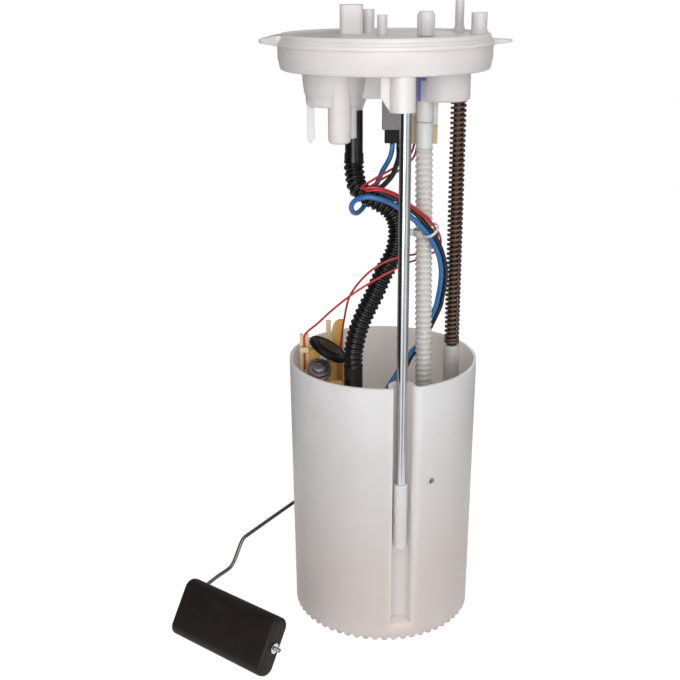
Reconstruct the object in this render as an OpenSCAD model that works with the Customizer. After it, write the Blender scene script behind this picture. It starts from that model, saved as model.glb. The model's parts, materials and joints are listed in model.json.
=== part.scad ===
// In-tank electric fuel pump module: a reservoir pot with the pump inside, a flanged
// cover that slides on two guide rods against a spring, and a level float on a wire arm.
// Millimetres. Origin at the centre of the pot's foot, +Z up, the front rod towards -Y.

/* [Reservoir pot] */
// Height of the pot from its foot to its rim
pot_h = 182; // [176:1:190]
// Outer radius of the pot at its rim
pot_r = 62.5; // [61:0.5:64]
// How much smaller the outer radius is at the foot
pot_draft = 1.4; // [0:0.1:2]
// Wall of the pot
pot_wall = 2; // [1.6:0.1:2.6]
// Thickness of the pot floor
floor_t = 2.4; // [1.8:0.1:3.2]
// Height of the toothed foot skirt under the floor
skirt_h = 6; // [5:0.5:8]
// Number of scallops round the foot
scallop_n = 60; // [40:2:72]
// Radius of one foot scallop
scallop_r = 1.8; // [1:0.1:2]
// Radius of the pad that the pot stands on at its centre
foot_pad_r = 10; // [8:0.5:12]
// Radius of the small vent hole in the wall
vent_hole_r = 2; // [1:0.1:2.5]
// Height of the vent hole
vent_hole_z = 115; // [90:1:130]

/* [Guide rods] */
// Diameter of the front guide rod
rod_d = 7; // [6.4:0.1:7.4]
// Diameter of the rear guide rod
rear_d = 6.2; // [5.8:0.1:6.6]
// Running clearance round a rod
rod_clear = 0.3; // [0.25:0.05:0.4]
// Travel of the cover on its rods
travel = 50; // [30:1:54]
// Distance of the front rod's axis inside the pot's outer radius
front_inset = 6.1; // [5.5:0.1:7]
// Plan angle of the front rod
front_az = -80; // [-84:1:-76]
// Distance of the rear rod's axis inside the pot's outer radius
rear_inset = 8.3; // [8:0.1:9]
// Plan angle of the rear rod
rear_az = 26; // [24:1:30]
// Outer diameter of the end sleeve on the front rod
sleeve_d = 9.1; // [8.6:0.1:10]
// Length of the end sleeve
sleeve_len = 47; // [30:1:52]
// Depth of the front rod's lower end below the pot rim
sleeve_drop = 114.6; // [112:0.2:116]
// Clearance between the end sleeve and its channel
channel_gap = 2; // [1.5:0.1:2.5]
// Space left under the end sleeve when the cover is fully down
channel_rest = 6; // [5.4:0.2:7]
// Radius of the rounded right edge of the channel
channel_fillet = 5; // [3:0.5:6]
// Wall of the rear guide tube
tube_wall = 1.85; // [1.5:0.05:2]
// Depth of the stop step in the rear guide tube below the rim
step_drop = 60; // [50:1:70]
// Height of the stop ring on the rear rod
ring_h = 4; // [3:0.5:6]

/* [Spring] */
// Wire diameter of the spring
spring_wire = 1.8; // [1.4:0.1:1.8]
// Number of turns of the spring
spring_turns = 50; // [36:1:52]
// Gap between the spring and the rod inside it
spring_gap = 0.35; // [0.3:0.05:0.5]

/* [Cover] */
// Height of the cover's datum, just below its lip, above the pot rim at rest
reach = 198; // [194:1:200]
// Outer radius of the cover's lip
lip_r = 66.3; // [65.5:0.1:68]
// Height of the lip's underside above the cover's datum
lip_up = 3.5; // [3:0.1:4]
// Radius of the sealing land under the lip
land_r = 65.6; // [64.5:0.1:65.6]
// Height of the sealing land
land_h = 7.5; // [6:0.5:9]
// Depth of the cover's skirt below the datum
skirt_drop = 10.7; // [9:0.1:12]
// Thickness of the cover plate
plate_t = 3; // [2.4:0.1:4]
// Height of the pan surface above the datum
pan_h = 9; // [8:0.2:9.6]
// Radius of the pressure port at the right
port_r = 4.8; // [4:0.1:5]
// Wall of the ports
port_wall = 1.3; // [1:0.1:1.6]
// Depth of the front rod's boss below the datum
boss_drop = 30.6; // [28:0.1:33]
// Wall of the rod bosses round a rod
boss_wall = 4; // [3:0.1:4.5]
// How far a rod goes up into its boss
rod_seat = 18; // [14:1:22]
// Depth of the right cup below the datum
right_drop = 29.8; // [28:0.1:32]
// Depth of the left chamber below the datum
left_drop = 32; // [30:0.1:33]

/* [Pump] */
// Diameter of the pump can
pump_d = 38; // [36:0.5:39]
// Length of the pump can
pump_len = 100; // [90:1:102]
// Height of the pump can above the pot floor
pump_lift = 29.6; // [28:0.2:32]
// Thickness of the rubber round the can
rubber_t = 2; // [1.5:0.1:2.5]
// Wall of the pump holder
holder_wall = 2.5; // [2:0.1:3]

/* [Hoses and wires] */
// Outer diameter of the black feed hose
hose_d = 13; // [12:0.2:13.2]
// Outer diameter of the white return tube
return_d = 11.4; // [10.8:0.2:11.8]
// Diameter of the supply wires
supply_d = 3; // [2.6:0.1:3]
// Diameter of the sender wires
sender_d = 1.1; // [0.9:0.1:1.1]

/* [Level sender] */
// Plan angle of the level sender on the pot wall
sender_az = 142.2; // [140:0.2:144]
// Distance of the arm's plane outside the pot wall
arm_out = 13.7; // [13.4:0.1:15]
// Height of the arm's pivot
pivot_z = 51; // [49:0.5:56]
// Sideways place of the pivot on the sender
pivot_y = -10; // [-12:0.5:-9]
// Diameter of the arm wire
arm_d = 2; // [1.8:0.1:2.2]
// Horizontal distance from the pivot to the float
arm_reach = 136; // [132:1:140]
// Height of the pivot above the float's axis
arm_fall = 26.3; // [24:0.1:28]
// Length of the float
float_l = 79; // [70:1:80]
// Width of the float
float_w = 38; // [30:0.2:40]
// Thickness of the float
float_t = 15; // [12:0.2:18]
// Tilt of the float at rest
float_tilt = 57; // [40:0.5:70]

/* [Hidden] */
$fn = 48;
seat = 0.3;          // gap where a piece sits loosely on another
fit = 0.05;          // radial clearance of a pressed piece
eps = 0.01;

// Pot
foot_r = pot_r - pot_draft;
floor_z = skirt_h + floor_t;
rod_r = rod_d / 2;
rear_rod_r = rear_d / 2;
front_r = pot_r - front_inset;
rear_r = pot_r - rear_inset;
front_xy = front_r * [cos(front_az), sin(front_az)];
rear_xy = rear_r * [cos(rear_az), sin(rear_az)];
channel_r = sleeve_d / 2 + channel_gap;
sleeve_z = pot_h - sleeve_drop;
channel_floor = sleeve_z - travel - channel_rest;
bore_r = rear_rod_r + rod_clear;
tube_r = bore_r + tube_wall;
tube_top = pot_h - 1;
step_z = pot_h - step_drop;
ring_r = rear_rod_r + 1.5;
wide_r = ring_r + rod_clear;
drain_az = -12;
drain_w = 22;
drain_h = 4;
drain_deep = 2.8;
valve_xy = [-4, 30];
function wall_r(z) = foot_r + pot_draft * z / pot_h;

// Cover
lip_z = pot_h + reach;
pan_z = lip_z + pan_h;
skirt_r = land_r - 1.3;
boss_r = rod_r + boss_wall;
rear_boss_r = rear_rod_r + boss_wall;
left_c = [-31.5, -7];
left_r = 17;
right_c = [36.2, -2];
right_r = 16.5;
cup_wall = 2.4;
boss_shift = [-1.9, 0];
nozzle_xy = [24.7, -5];
nozzle_r = 5.3;
nozzle_drop = 42.5;
hose_xy = [-19, 2.5];
spigot_r = 3.9;
stub_xy = [-20.6, -7];
stub_r = 3.1;
port_xy = [57, 0];
cap_xy = [23.2, -20];
cap_r = 5.2;
shroud_xy = [-20.2, 22];
shroud_size = [14.6, 20, 17.2];
shroud_wall = 1.6;
power_xy = [6.6, 2];
power_size = [15.8, 9, 29.5];
power_drop = 18;
plug_size = [12.6, 5.8, 15];
plug_in = 6.4;
plug_z = lip_z - power_drop - power_size[2] - seat + plug_in - plug_size[2];
sender_plug_xy = [25.2, 9];
sender_plug_size = [17.2, 8.4, 11.4];
sender_plug_drop = 46;
sender_plug_z = lip_z - sender_plug_drop - seat - sender_plug_size[2];
tongue = [13, 4.6, 7];
clip_bar = 1.7;
blue_y = right_c[1] - sqrt(pow(right_r, 2) - pow(right_c[0] - nozzle_xy[0] + 0.4, 2)) - seat - 1.3;

// Pump
pump_xy = [-20, -18];
strainer_h = 8;
ring_band = 7;
pump_z = floor_z + pump_lift;
cap_z = pump_z + pump_len;
cap_h = 10;
head_z = cap_z + cap_h + seat;
barb_r = 4;
holder_r = pump_d / 2 + rubber_t + holder_wall;
shelf_xy = [1.5, -26];
shelf_z = head_z + 2.6;
reg_c = [-42.7, -8, head_z + 29.2];
reg_tilt = 31;
tab_h = reg_c[2] + 27.8 - cap_z;
tab_y = 17;
tab_t = 3;
disc_c = [-36.5, 2, reg_c[2] + 8];
disc_lean = 31;
clip_c = [-52.6, 4.3];
clip_w = 6;
clip_t = 3.4;
clip_slot = 1.6;
eye_z = reg_c[2] + 7;

// Return tube, between its foot on the jet pump and the nozzle of the cover
jet_xy = [29, -5];
jet_r = 6.6;
jet_z = floor_z + seat + jet_r;
riser_r = 3.5;
foot_top = 60;
nozzle_z = lip_z - nozzle_drop - 16.5;
tube_a = [jet_xy[0], jet_xy[1], foot_top];
tube_b = [nozzle_xy[0], nozzle_xy[1], nozzle_z];
return_pitch = 3.8;

// Spring
spring_low = tube_top + seat;
spring_high = lip_z - right_drop - seat;

// Feed hose
cuff_bottom = 312;
cuff_drop = 36;
hose_foot_top = 181;
hose_pitch = 3.6;
hose_groove = 0.9;
hose_end = 0.4;
hose_pts = [[-19, 2.5, 311.7], [-19, 2.5, 307.6], [-18.4, 1.5, 303.1], [-17.3, -1.2, 297.5],
  [-14.3, -4.2, 293.5], [-8.4, -7, 290.6], [-1.2, -9, 286.9], [4.5, -10, 282.5], [7.9, -10, 276],
  [8.8, -10, 269.2], [8.2, -10.5, 262.5], [5.9, -11, 254.1], [-0.6, -12.5, 242],
  [-6.2, -14.5, 229.2], [-12.6, -16.5, 216.4], [-16.9, -17.5, 205.2], [-20, -18, 190],
  [-20, -18, 181.3]];

// Wires, from their plugs under the cover down to the pump
blue_pts = [[5.2, 2, 323.2], [5.1, 2, 319.8], [4.2, 2.3, 315.4], [2.3, 2.8, 311],
  [-0.5, 3.5, 306.1], [-3.6, 4.5, 298.9], [-6.7, 5.5, 292.9], [-10.3, 5, 286.5], [-13.2, 2, 282.3],
  [-15.2, -2, 281], [-17.4, -7.5, 280.8], [-19.6, -13, 282.4], [-21, -18, 286],
  [-20.5, -22, 289.6], [-18.2, -25, 292.7], [-14.2, -27.5, 294.7], [-9.7, -28.5, 295.3],
  [-3.5, -28.5, 293.9], [2.7, -27, 291.2], [7.7, -25, 287.8], [15.5, -20.5, 281.3],
  [22.1, -17.5, 274.8], [26.8, -15, 269.1], [31.4, -12, 261.4], [35.1, -8.5, 252.6],
  [37.4, -3.5, 241.9], [37.6, 1.5, 231], [36.5, 5, 220.3], [34.5, 6, 211.7], [25, 6, 189.5],
  [19, 1, 183.5], [13, -9, 179], [7, -18, 173], [1.4, -25, 166.5], [0, -26, 163], [0, -26, 160.3]];
black_pts = [[9.2, 2, 323.2], [9.2, 1.4, 320], [9.1, -2.4, 317.8], [8.5, -8.4, 315.4],
  [6.9, -13, 311.6], [4.5, -17, 306.5], [-1.5, -22.5, 301], [-6, -27.5, 299.5], [-3, -31.3, 299.3],
  [2.5, -29.5, 295.6], [8.2, -27, 292.4], [15.3, -22, 286], [20.7, -18, 281.2],
  [26.1, -14.6, 274.4], [30.1, -12, 268.8], [34.2, -9.4, 262.3], [37.9, -5.5, 253.1],
  [40.5, -0.5, 242.1], [40.9, 4.5, 230.1], [39.7, 8, 219.4], [37.8, 9.6, 210.5], [27, 10, 187],
  [20, 4.8, 180], [14.5, -7, 174.5], [10, -17, 170.5], [6, -25, 166.2], [5, -26, 163],
  [5, -26, 160.3]];
red_a_pts = [[19.6, 9, 322], [17, 2, 317], [9, -7, 311.3], [2.5, -14, 308.7], [-3.2, -18.5, 306.5],
  [-9.5, -23, 303.7], [-13.9, -27.5, 301.9], [-15.1, -30.5, 301.2], [-12.8, -33, 301.5],
  [-8.6, -34, 302.1], [-3.8, -34, 301.7], [2.3, -32.5, 299.5], [7.9, -30.9, 296.5],
  [15, -26.9, 290.4], [21.5, -22.8, 284.9], [27, -17.4, 279.4], [31.5, -10.6, 272.6],
  [33.9, -7, 266.7], [34.8, -1.5, 261], [33.1, 3.8, 255.8], [27.6, 6.4, 252.2], [21.4, 3, 251],
  [17.4, -4, 252.2], [14.7, -10.5, 253.4], [11.7, -16.5, 254.5], [8.4, -20, 254.7],
  [2.7, -20.5, 253.2], [-3, -21, 250.5], [-8.6, -20, 246.4], [-13.6, -17, 240.7],
  [-18.9, -10, 232], [-22.5, -1, 222.6], [-24.4, 7, 212.5], [-25.3, 12.5, 205.5],
  [-26.2, 15, 199.3], [-27.2, 16.1, 191.7], [-28.2, 16.1, 181]];
red_b_pts = [[21.9, 9, 322], [18.3, 1, 314], [9, -8, 307.8], [2.5, -14.5, 305.9],
  [-3.2, -19, 303.8], [-7.7, -23, 301.8], [-11.2, -27.6, 300.6], [-12.5, -31, 300.1],
  [-10.1, -33.6, 300.2], [-6.8, -34.6, 300.7], [-2.6, -34.4, 300.2], [2.9, -32.4, 297.9],
  [8.6, -29.6, 294.4], [15.7, -25, 288.2], [22.4, -20, 282.1], [28.2, -16.4, 276.6],
  [32.9, -12.6, 271], [35.8, -7, 265.4], [36.9, -1.5, 259.2], [35, 4.8, 252.8], [28.4, 8, 248.3],
  [21.6, 4.6, 246.6], [17.5, -4, 247.7], [14.7, -10.5, 248.6], [11.8, -16.5, 249.1],
  [9.1, -20, 248.6], [2.7, -21, 245.4], [-3, -22.5, 242.7], [-9.4, -24.5, 239.5],
  [-17, -26, 235.1], [-25.2, -25, 228.8], [-34.9, -18, 218.4], [-42.9, -9, 208],
  [-50.4, 0.8, 200.6], [-52.3, 2.2, 196.6], [-52.5, 2, 192], [-52.5, 1.4, 187.6],
  [-52.5, 1.3, 182], [-52.5, 1.3, 172]];
tie_z = 267.4;
tie_h = 4.8;
loop_c = [28.9, -13.5, 270.7];
loop_turn = [23, -33.8, 0];
loop_r = 5;

// Sender and arm, in a frame whose x points out of the pot at the sender
arm_r = arm_d / 2;
arm_x = pot_r + arm_out;
sender_h = 40;
sender_w = 26;
sender_t = 8;
sender_x = wall_r(pivot_z + sender_h / 2) + seat;
sender_face = sender_x + sender_t;
hub_x = sender_face + seat + 0.4;
float_y = pivot_y + arm_reach;
float_z = pivot_z - arm_fall;
float_x = arm_x - 4.4 - float_l;
washer_t = 0.8;
wiper_t = 0.4;
plate_size = [1, 19, 15];
arm_bend = 2.5;
// Places along the arm, as shares of its reach and of its fall
arm_form = [[0.11, 0.046], [0.32, 0.133], [0.515, 0.22], [0.535, 0.25], [0.555, 0.36],
  [0.605, 0.75], [0.63, 0.86], [0.66, 0.895], [0.74, 0.91], [0.8, 0.955]];
function arm_place(s) = [arm_x, pivot_y + s[0] * arm_reach, pivot_z - s[1] * arm_fall];
arm_pts = concat([[sender_x + 1, pivot_y, pivot_z], [arm_x - arm_bend, pivot_y, pivot_z],
  [arm_x - arm_bend * 0.3, pivot_y + arm_bend * 0.3, pivot_z],
  [arm_x, pivot_y + arm_bend, pivot_z - 0.2]],
  [for (s = arm_form) arm_place(s)],
  [[arm_x, float_y - arm_bend, float_z], [arm_x - arm_bend * 0.3, float_y - arm_bend * 0.3, float_z],
  [arm_x - arm_bend, float_y, float_z], [float_x - 5, float_y, float_z]]);

// Shared shapes
function curve(a, b, c, d, t) = 0.5 * (2 * b + (c - a) * t
  + (2 * a - 5 * b + 4 * c - d) * t * t + (3 * b - a - 3 * c + d) * t * t * t);
function smooth(p, n) = let (m = len(p) - 1) concat(
  [for (i = [0 : m - 1]) for (k = [0 : n - 1])
    curve(i == 0 ? 2 * p[0] - p[1] : p[i - 1], p[i], p[i + 1],
      i + 2 <= m ? p[i + 2] : 2 * p[m] - p[m - 1], k / n)], [p[m]]);
function run_lengths(p) = [for (i = 0, s = 0; i < len(p);
  s = s + (i + 1 < len(p) ? norm(p[i + 1] - p[i]) : 0), i = i + 1) s];
function even(p, n) = let (s = run_lengths(p), total = s[len(s) - 1],
  tables = [for (k = [0 : 2]) [for (i = [0 : len(p) - 1]) [s[i], p[i][k]]]])
  [for (j = [0 : n]) [for (k = [0 : 2]) lookup(total * j / n, tables[k])]];
function unit(v) = v / norm(v);
function tangent(p, i) = unit(p[min(i + 1, len(p) - 1)] - p[max(i - 1, 0)]);
function square_to(n, t) = unit(n - (n * t) * t);
function side_start(t) = abs(t[2]) < 0.9 ? [0, 0, 1] : [1, 0, 0];
function sides(p) = [for (i = 0, n = square_to(side_start(tangent(p, 0)), tangent(p, 0));
  i < len(p); i = i + 1, n = i < len(p) ? square_to(n, tangent(p, i)) : n) n];

// A round tube of radius r[i] at point p[i], with its ends closed
module sweep(p, r, m) {
  n = sides(p);
  last = len(p) - 1;
  points = [for (i = [0 : last]) let (b = cross(tangent(p, i), n[i])) for (k = [0 : m - 1])
    p[i] + r[i] * (cos(360 * k / m) * n[i] + sin(360 * k / m) * b)];
  walls = [for (i = [0 : last - 1]) for (k = [0 : m - 1]) let (q = (k + 1) % m)
    each [[i * m + k, (i + 1) * m + k, (i + 1) * m + q], [i * m + k, (i + 1) * m + q, i * m + q]]];
  ends = [[for (k = [0 : m - 1]) k], [for (k = [m - 1 : -1 : 0]) last * m + k]];
  polyhedron(points, concat(walls, ends));
}

module wire(p, d) {
  path = smooth(p, 2);
  sweep(path, [for (i = path) d / 2], 8);
}

// A closed box standing on its base, centred on x and y
module post(xy, size, z) {
  translate([xy[0] - size[0] / 2, xy[1] - size[1] / 2, z]) cube(size);
}

module rod(xy, r, z0, z1) {
  translate([xy[0], xy[1], z0]) cylinder(r = r, h = z1 - z0);
}

module pipe(xy, r, bore, z0, z1) {
  difference() {
    rod(xy, r, z0, z1);
    rod(xy, bore, z0 - 1, z1 + 1);
  }
}

// A rectangle with round corners, centred
module round_rect(w, h, r) {
  square([w - 2 * r, h], center = true);
  square([w, h - 2 * r], center = true);
  for (x = [-1, 1], y = [-1, 1]) translate([x * (w / 2 - r), y * (h / 2 - r)]) circle(r);
}

// Plan outline of the rod channel, grown by g, with its mouth towards -y
module channel_plan(g) {
  c = channel_r + g;
  f = channel_fillet - g;
  rim = pot_r - g;
  out = pot_r + 10;
  fx = c + f;
  fy = -sqrt((rim - f) * (rim - f) - fx * fx);
  turn = atan2(fy, fx);
  polygon(concat([[-c, -out]], [for (a = [180 : -10 : 0]) [c * cos(a), -front_r + c * sin(a)]],
    [for (k = [0 : 6]) let (a = 180 + (turn + 360 - 180) * k / 6) [fx + f * cos(a), fy + f * sin(a)]],
    [[fx * out / rim, -out]]));
}

module channel(g, z0, z1) {
  translate([0, 0, z0]) rotate(front_az + 90) linear_extrude(z1 - z0) channel_plan(g);
}

module in_sender_frame() {
  rotate(sender_az) children();
}

// The reservoir: tapered wall, rod channel, rear guide tube and toothed foot
module reservoir_pot() color("whitesmoke") difference() {
  union() {
    difference() {
      rotate_extrude($fn = 120) polygon([[0, 0], [foot_r, 0], [pot_r, pot_h], [0, pot_h]]);
      pot_hollow();
      translate([0, 0, -1]) difference() {
        cylinder(r = foot_r - pot_wall, h = skirt_h + 1, $fn = 120);
        cylinder(r = foot_pad_r, h = skirt_h + 1);
        drain_block();
      }
    }
    sender_rails();
    rod_eye();
  }
  channel(0, channel_floor, pot_h + 1);
  rear_bore();
  foot_scallops();
  drain_notch();
  valve_holes();
  vent_hole();
}

module pot_hollow() difference() {
  rotate_extrude($fn = 120) polygon([[0, floor_z], [wall_r(floor_z) - pot_wall, floor_z],
    [pot_r - pot_wall + 0.01, pot_h + 1], [0, pot_h + 1]]);
  channel(pot_wall, floor_z - 1, pot_h + 2);
  rod(rear_xy, tube_r, floor_z - 1, tube_top);
  rod(rear_xy, wide_r + tube_wall, floor_z - 1, step_z + 2);
  rotate(rear_az) translate([rear_r, -1.2, floor_z - 1]) cube([rear_inset - 0.5, 2.4, tube_top - floor_z]);
}

module rear_bore() {
  rod(rear_xy, bore_r, step_z - 1, pot_h + 1);
  rod(rear_xy, wide_r, floor_z, step_z);
}

module foot_scallops() {
  for (i = [0 : scallop_n - 1]) rotate(360 * (i + 0.5) / scallop_n)
    translate([foot_r - pot_wall - 2, 0, 0]) rotate([0, 90, 0])
      cylinder(r = scallop_r, h = pot_wall + 4, $fn = 16);
}

// A short step in the foot at the right, with the wall carried on behind it
module drain_block() rotate(drain_az) translate([foot_r - drain_deep - pot_wall - 1.7,
  -drain_w / 2 - pot_wall, 0]) cube([drain_deep + pot_wall + 4, drain_w + 2 * pot_wall, skirt_h + 2]);

module drain_notch() rotate(drain_az) translate([foot_r - drain_deep, -drain_w / 2, -1])
  cube([drain_deep + 4, drain_w, drain_h + 1]);

module valve_holes() {
  rod(valve_xy, 1.9, skirt_h - 1, floor_z + 1);
  for (i = [0 : 4]) rod(valve_xy + 4.6 * [cos(72 * i), sin(72 * i)], 1.5, skirt_h - 1, floor_z + 1);
}

module vent_hole() {
  rotate(atan2(-54, 30)) translate([foot_r - 6, 0, vent_hole_z]) rotate([0, 90, 0])
    cylinder(r = vent_hole_r, h = 12, $fn = 24);
}

// Two upright rails that the sender slides between, with hooked edges
module sender_rails() in_sender_frame() {
  for (s = [-1, 1]) translate([wall_r(0) - 6, pivot_y + s * (sender_w / 2 + seat + 1) - 1, pivot_z - sender_h / 2])
    cube([sender_x - wall_r(0) + 9, 2, sender_h]);
  translate([wall_r(0) - 4, pivot_y - sender_w / 2, pivot_z - sender_h / 2 - 2 - seat])
    cube([sender_x - wall_r(0) + 8, sender_w, 2]);
}

// An eye at the rim that holds the front rod in its channel, open at the front
module rod_eye() difference() {
  intersection() {
    rod(front_xy, channel_r + 1, pot_h - 5, pot_h);
    rotate(front_az) translate([0, -30, pot_h - 6]) cube([front_r + 1.2, 60, 8]);
  }
  rod(front_xy, rod_r + rod_clear, pot_h - 6, pot_h + 1);
}

module inlet_valve() color("black") {
  rod(valve_xy, 7, floor_z + seat, floor_z + seat + 1.1);
  rod(valve_xy, 1.7, skirt_h - 1.2, floor_z + seat + 0.5);
  rod(valve_xy, 2.4, skirt_h - 2.2, skirt_h - seat);
}

module suction_strainer() color("lightgray") {
  translate([pump_xy[0], pump_xy[1], floor_z + seat]) rotate_extrude() polygon([[0, 0],
    [19, 0], [20, 1], [20, strainer_h - 2.5], [18.5, strainer_h - 1], [8, strainer_h], [0, strainer_h]]);
  for (a = [0 : 30 : 330]) translate([pump_xy[0], pump_xy[1], floor_z + seat + 1]) rotate(a)
    translate([19.5, -0.6, 0]) cube([1, 1.2, strainer_h - 4]);
  pipe(pump_xy, 6, 3.6, floor_z + seat + strainer_h - 0.5, pump_z - 2);
}

// Suction jet on the floor: a level body with a nozzle and a riser for the return tube
module jet_pump() color("dimgray") difference() {
  union() {
    translate([jet_xy[0], jet_xy[1] - 18, jet_z]) rotate([-90, 0, 0]) cylinder(r = jet_r, h = 38);
    translate([jet_xy[0], jet_xy[1] - 24, jet_z]) rotate([-90, 0, 0]) cylinder(r1 = 3, r2 = 4.6, h = 7);
    for (y = [-12, 10]) post(jet_xy + [0, y], [11, 3, jet_r], floor_z + seat);
    rod(jet_xy, 5, jet_z, jet_z + 14);
    rod(jet_xy, riser_r, jet_z, foot_top - 2);
  }
  translate([jet_xy[0], jet_xy[1] - 25, jet_z]) rotate([-90, 0, 0]) cylinder(r = 1.6, h = 20);
  translate([jet_xy[0], jet_xy[1] - 6, jet_z]) rotate([-90, 0, 0]) cylinder(r1 = 2.2, r2 = 4.4, h = 27);
  rod(jet_xy, 2.1, jet_z, foot_top);
}

module return_tube_foot() color("gainsboro") difference() {
  union() {
    rod(jet_xy, return_d / 2, foot_top - 16, foot_top - seat);
    rod(jet_xy, return_d / 2 + 0.9, foot_top - 19, foot_top - 16);
  }
  rod(jet_xy, riser_r + fit, foot_top - 20, foot_top + 1);
}

// The motor can, with rolled ends, and the stub that goes into the strainer
module pump_can() color("silver") {
  translate([pump_xy[0], pump_xy[1], pump_z]) rotate_extrude() polygon([[0, 0], [pump_d / 2 - 2.5, 0],
    [pump_d / 2 - 1, 1], [pump_d / 2 - 0.4, 3], [pump_d / 2, 4], [pump_d / 2, pump_len - 4],
    [pump_d / 2 - 0.4, pump_len - 3], [pump_d / 2 - 1, pump_len - 0.5], [pump_d / 2 - 2, pump_len],
    [0, pump_len]]);
  rod(pump_xy, 3.5, pump_z - 14, pump_z);
}

module pump_cap() color("#202124") {
  rod(pump_xy, pump_d / 2 - 2.4, cap_z, cap_z + 4);
  rod(pump_xy, pump_d / 2 - 3.6, cap_z + 4 - eps, cap_z + cap_h);
}

// Outlet head on the pump: a disc, the barb for the feed hose and the terminal block
module pump_head() color("#d29a45") {
  difference() {
    union() {
      rod(pump_xy, pump_d / 2 - 2, head_z, head_z + 4);
      rod(pump_xy, barb_r + 1.6, head_z, head_z + 7);
      rod(pump_xy, barb_r, head_z, hose_foot_top - 6);
    }
    rod(pump_xy, barb_r - 1.3, head_z + 2, hose_foot_top);
  }
  post(pump_xy + [-11.2, -7], [8, 7, 24], head_z);
  post(shelf_xy + [-2.5, 0], [17, 8.4, shelf_z - head_z], head_z);
}

// The cage round the pump: two rings, four posts, and the bracket for the regulator
module pump_holder() color("#d8a24c") {
  for (z = [pump_z - 3, cap_z - ring_band]) pipe(pump_xy, holder_r, pump_d / 2 + rubber_t + fit,
    z, z + ring_band);
  pipe(pump_xy, holder_r, pump_d / 2 - 5, pump_z - 3 - 3, pump_z - 3 + 3 - seat);
  for (a = [20, 110, 200, 290]) translate([pump_xy[0], pump_xy[1], 0]) rotate(a)
    translate([pump_d / 2 + rubber_t + fit, -4, floor_z + seat])
      cube([holder_wall - fit, 8, cap_z - floor_z - seat - 1]);
  difference() {
    union() {
      translate([-54, -3, cap_z - 4]) cube([28, tab_y + tab_t + 3, 4]);
      translate([-49.3, -1, cap_z - 4]) cube([6, 11, 14]);
      rod([reg_c[0], 3], 6.5, cap_z - 4, reg_c[2] - 14);
      at_regulator() translate([0, 0, -20]) cylinder(r = 9.6, h = 13);
      translate([-34.1, tab_y + tab_t, cap_z - 4]) rotate([90, 0, 0]) linear_extrude(tab_t) tab_side();
      translate([-49.4, 3.4, cap_z - 2]) cube([7, 4.6, reg_c[2] + 9.5 - cap_z]);
      difference() {
        rod([disc_c[0] + 2.5, disc_c[1] + 3], 3, cap_z - 4, disc_c[2]);
        at_disc() translate([0, 0, 10 - 2.2 - seat]) cube([40, 40, 20], center = true);
      }
    }
    rod(pump_xy, pump_d / 2 + rubber_t + fit, cap_z - 20, cap_z + 40);
    translate([clip_c[0] - clip_w, clip_c[1] - clip_t / 2 - seat, cap_z])
      cube([1.5 * clip_w + seat, clip_t + 2 * seat, reg_c[2]]);
  }
}

// Upright tab of the holder with one rounded shoulder
module tab_side() {
  polygon(concat([[0, 0]], [for (a = [180 : -15 : 90]) [6 + 6 * cos(a), tab_h - 9 + 9 * sin(a)]],
    [[7.8, tab_h], [7.8, 0]]));
}

module at_regulator() {
  translate(reg_c) rotate([reg_tilt, 0, 0]) children();
}

module rubber_mount() color("#1c1c1e") {
  for (z = [pump_z + 4, cap_z - ring_band]) pipe(pump_xy, pump_d / 2 + rubber_t, pump_d / 2 + fit,
    z - 1, z + ring_band - 2);
}

// Cream clip at the left that holds the sender lead, and the upright next to the tab
module holder_clip() color("#e6d3a4") {
  difference() {
    post(clip_c, [clip_w, clip_t, reg_c[2] + 18 - cap_z], cap_z + seat);
    post(clip_c, [clip_slot, 2 * clip_t, 40], eye_z - 1);
  }
  difference() {
    post(clip_c - [0, clip_t / 2 + 1.9], [clip_w, 4, 3.5], eye_z);
    post(clip_c - [0, clip_t / 2 + 1.3], [2 * clip_slot, 2.6, 10], eye_z - 1);
  }
  translate([-38.1, tab_y, cap_z + seat]) cube([3.4, 2.4, tab_h - 4.8]);
}

// Pressure regulator: a crimped can with a stepped end
module regulator() color("#b9b6b8") at_regulator() translate([0, 0, -7 + seat]) rotate_extrude()
  polygon([[0, 0], [8.2, 0], [8.2, 2], [7.6, 2.4], [7.6, 5], [7.1, 5.6], [6.3, 5.6], [6.1, 5],
    [4.8, 5], [4.6, 6.4], [2.6, 6.9], [2.4, 6.2], [0, 6.2]]);

module at_disc() {
  translate(disc_c) rotate([0, disc_lean, 0]) children();
}

// Dark domed disc above the regulator, leaning to the right
module regulator_cap() color("#19191b") at_disc() rotate_extrude()
  polygon([[0, -2.2], [12.5, -2.2], [14.2, -1.2], [14.5, 0.4], [13.8, 1.8], [12.4, 2.4], [11.6, 1.6],
    [9.5, 2], [8.6, 2.8], [0, 3]]);

module pump_plug() color("#1e1f22") {
  post(shelf_xy + [1, 0], [10, 7, 160 - shelf_z - seat], shelf_z + seat);
}

module feed_hose_foot() color("#1b1b1b") difference() {
  union() {
    rod(pump_xy, hose_d / 2 - 0.3, hose_foot_top - 22, hose_foot_top);
    rod(pump_xy, hose_d / 2 + 0.4, hose_foot_top - 22, hose_foot_top - 18);
  }
  rod(pump_xy, barb_r + fit, hose_foot_top - 23, hose_foot_top + 1);
}

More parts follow.
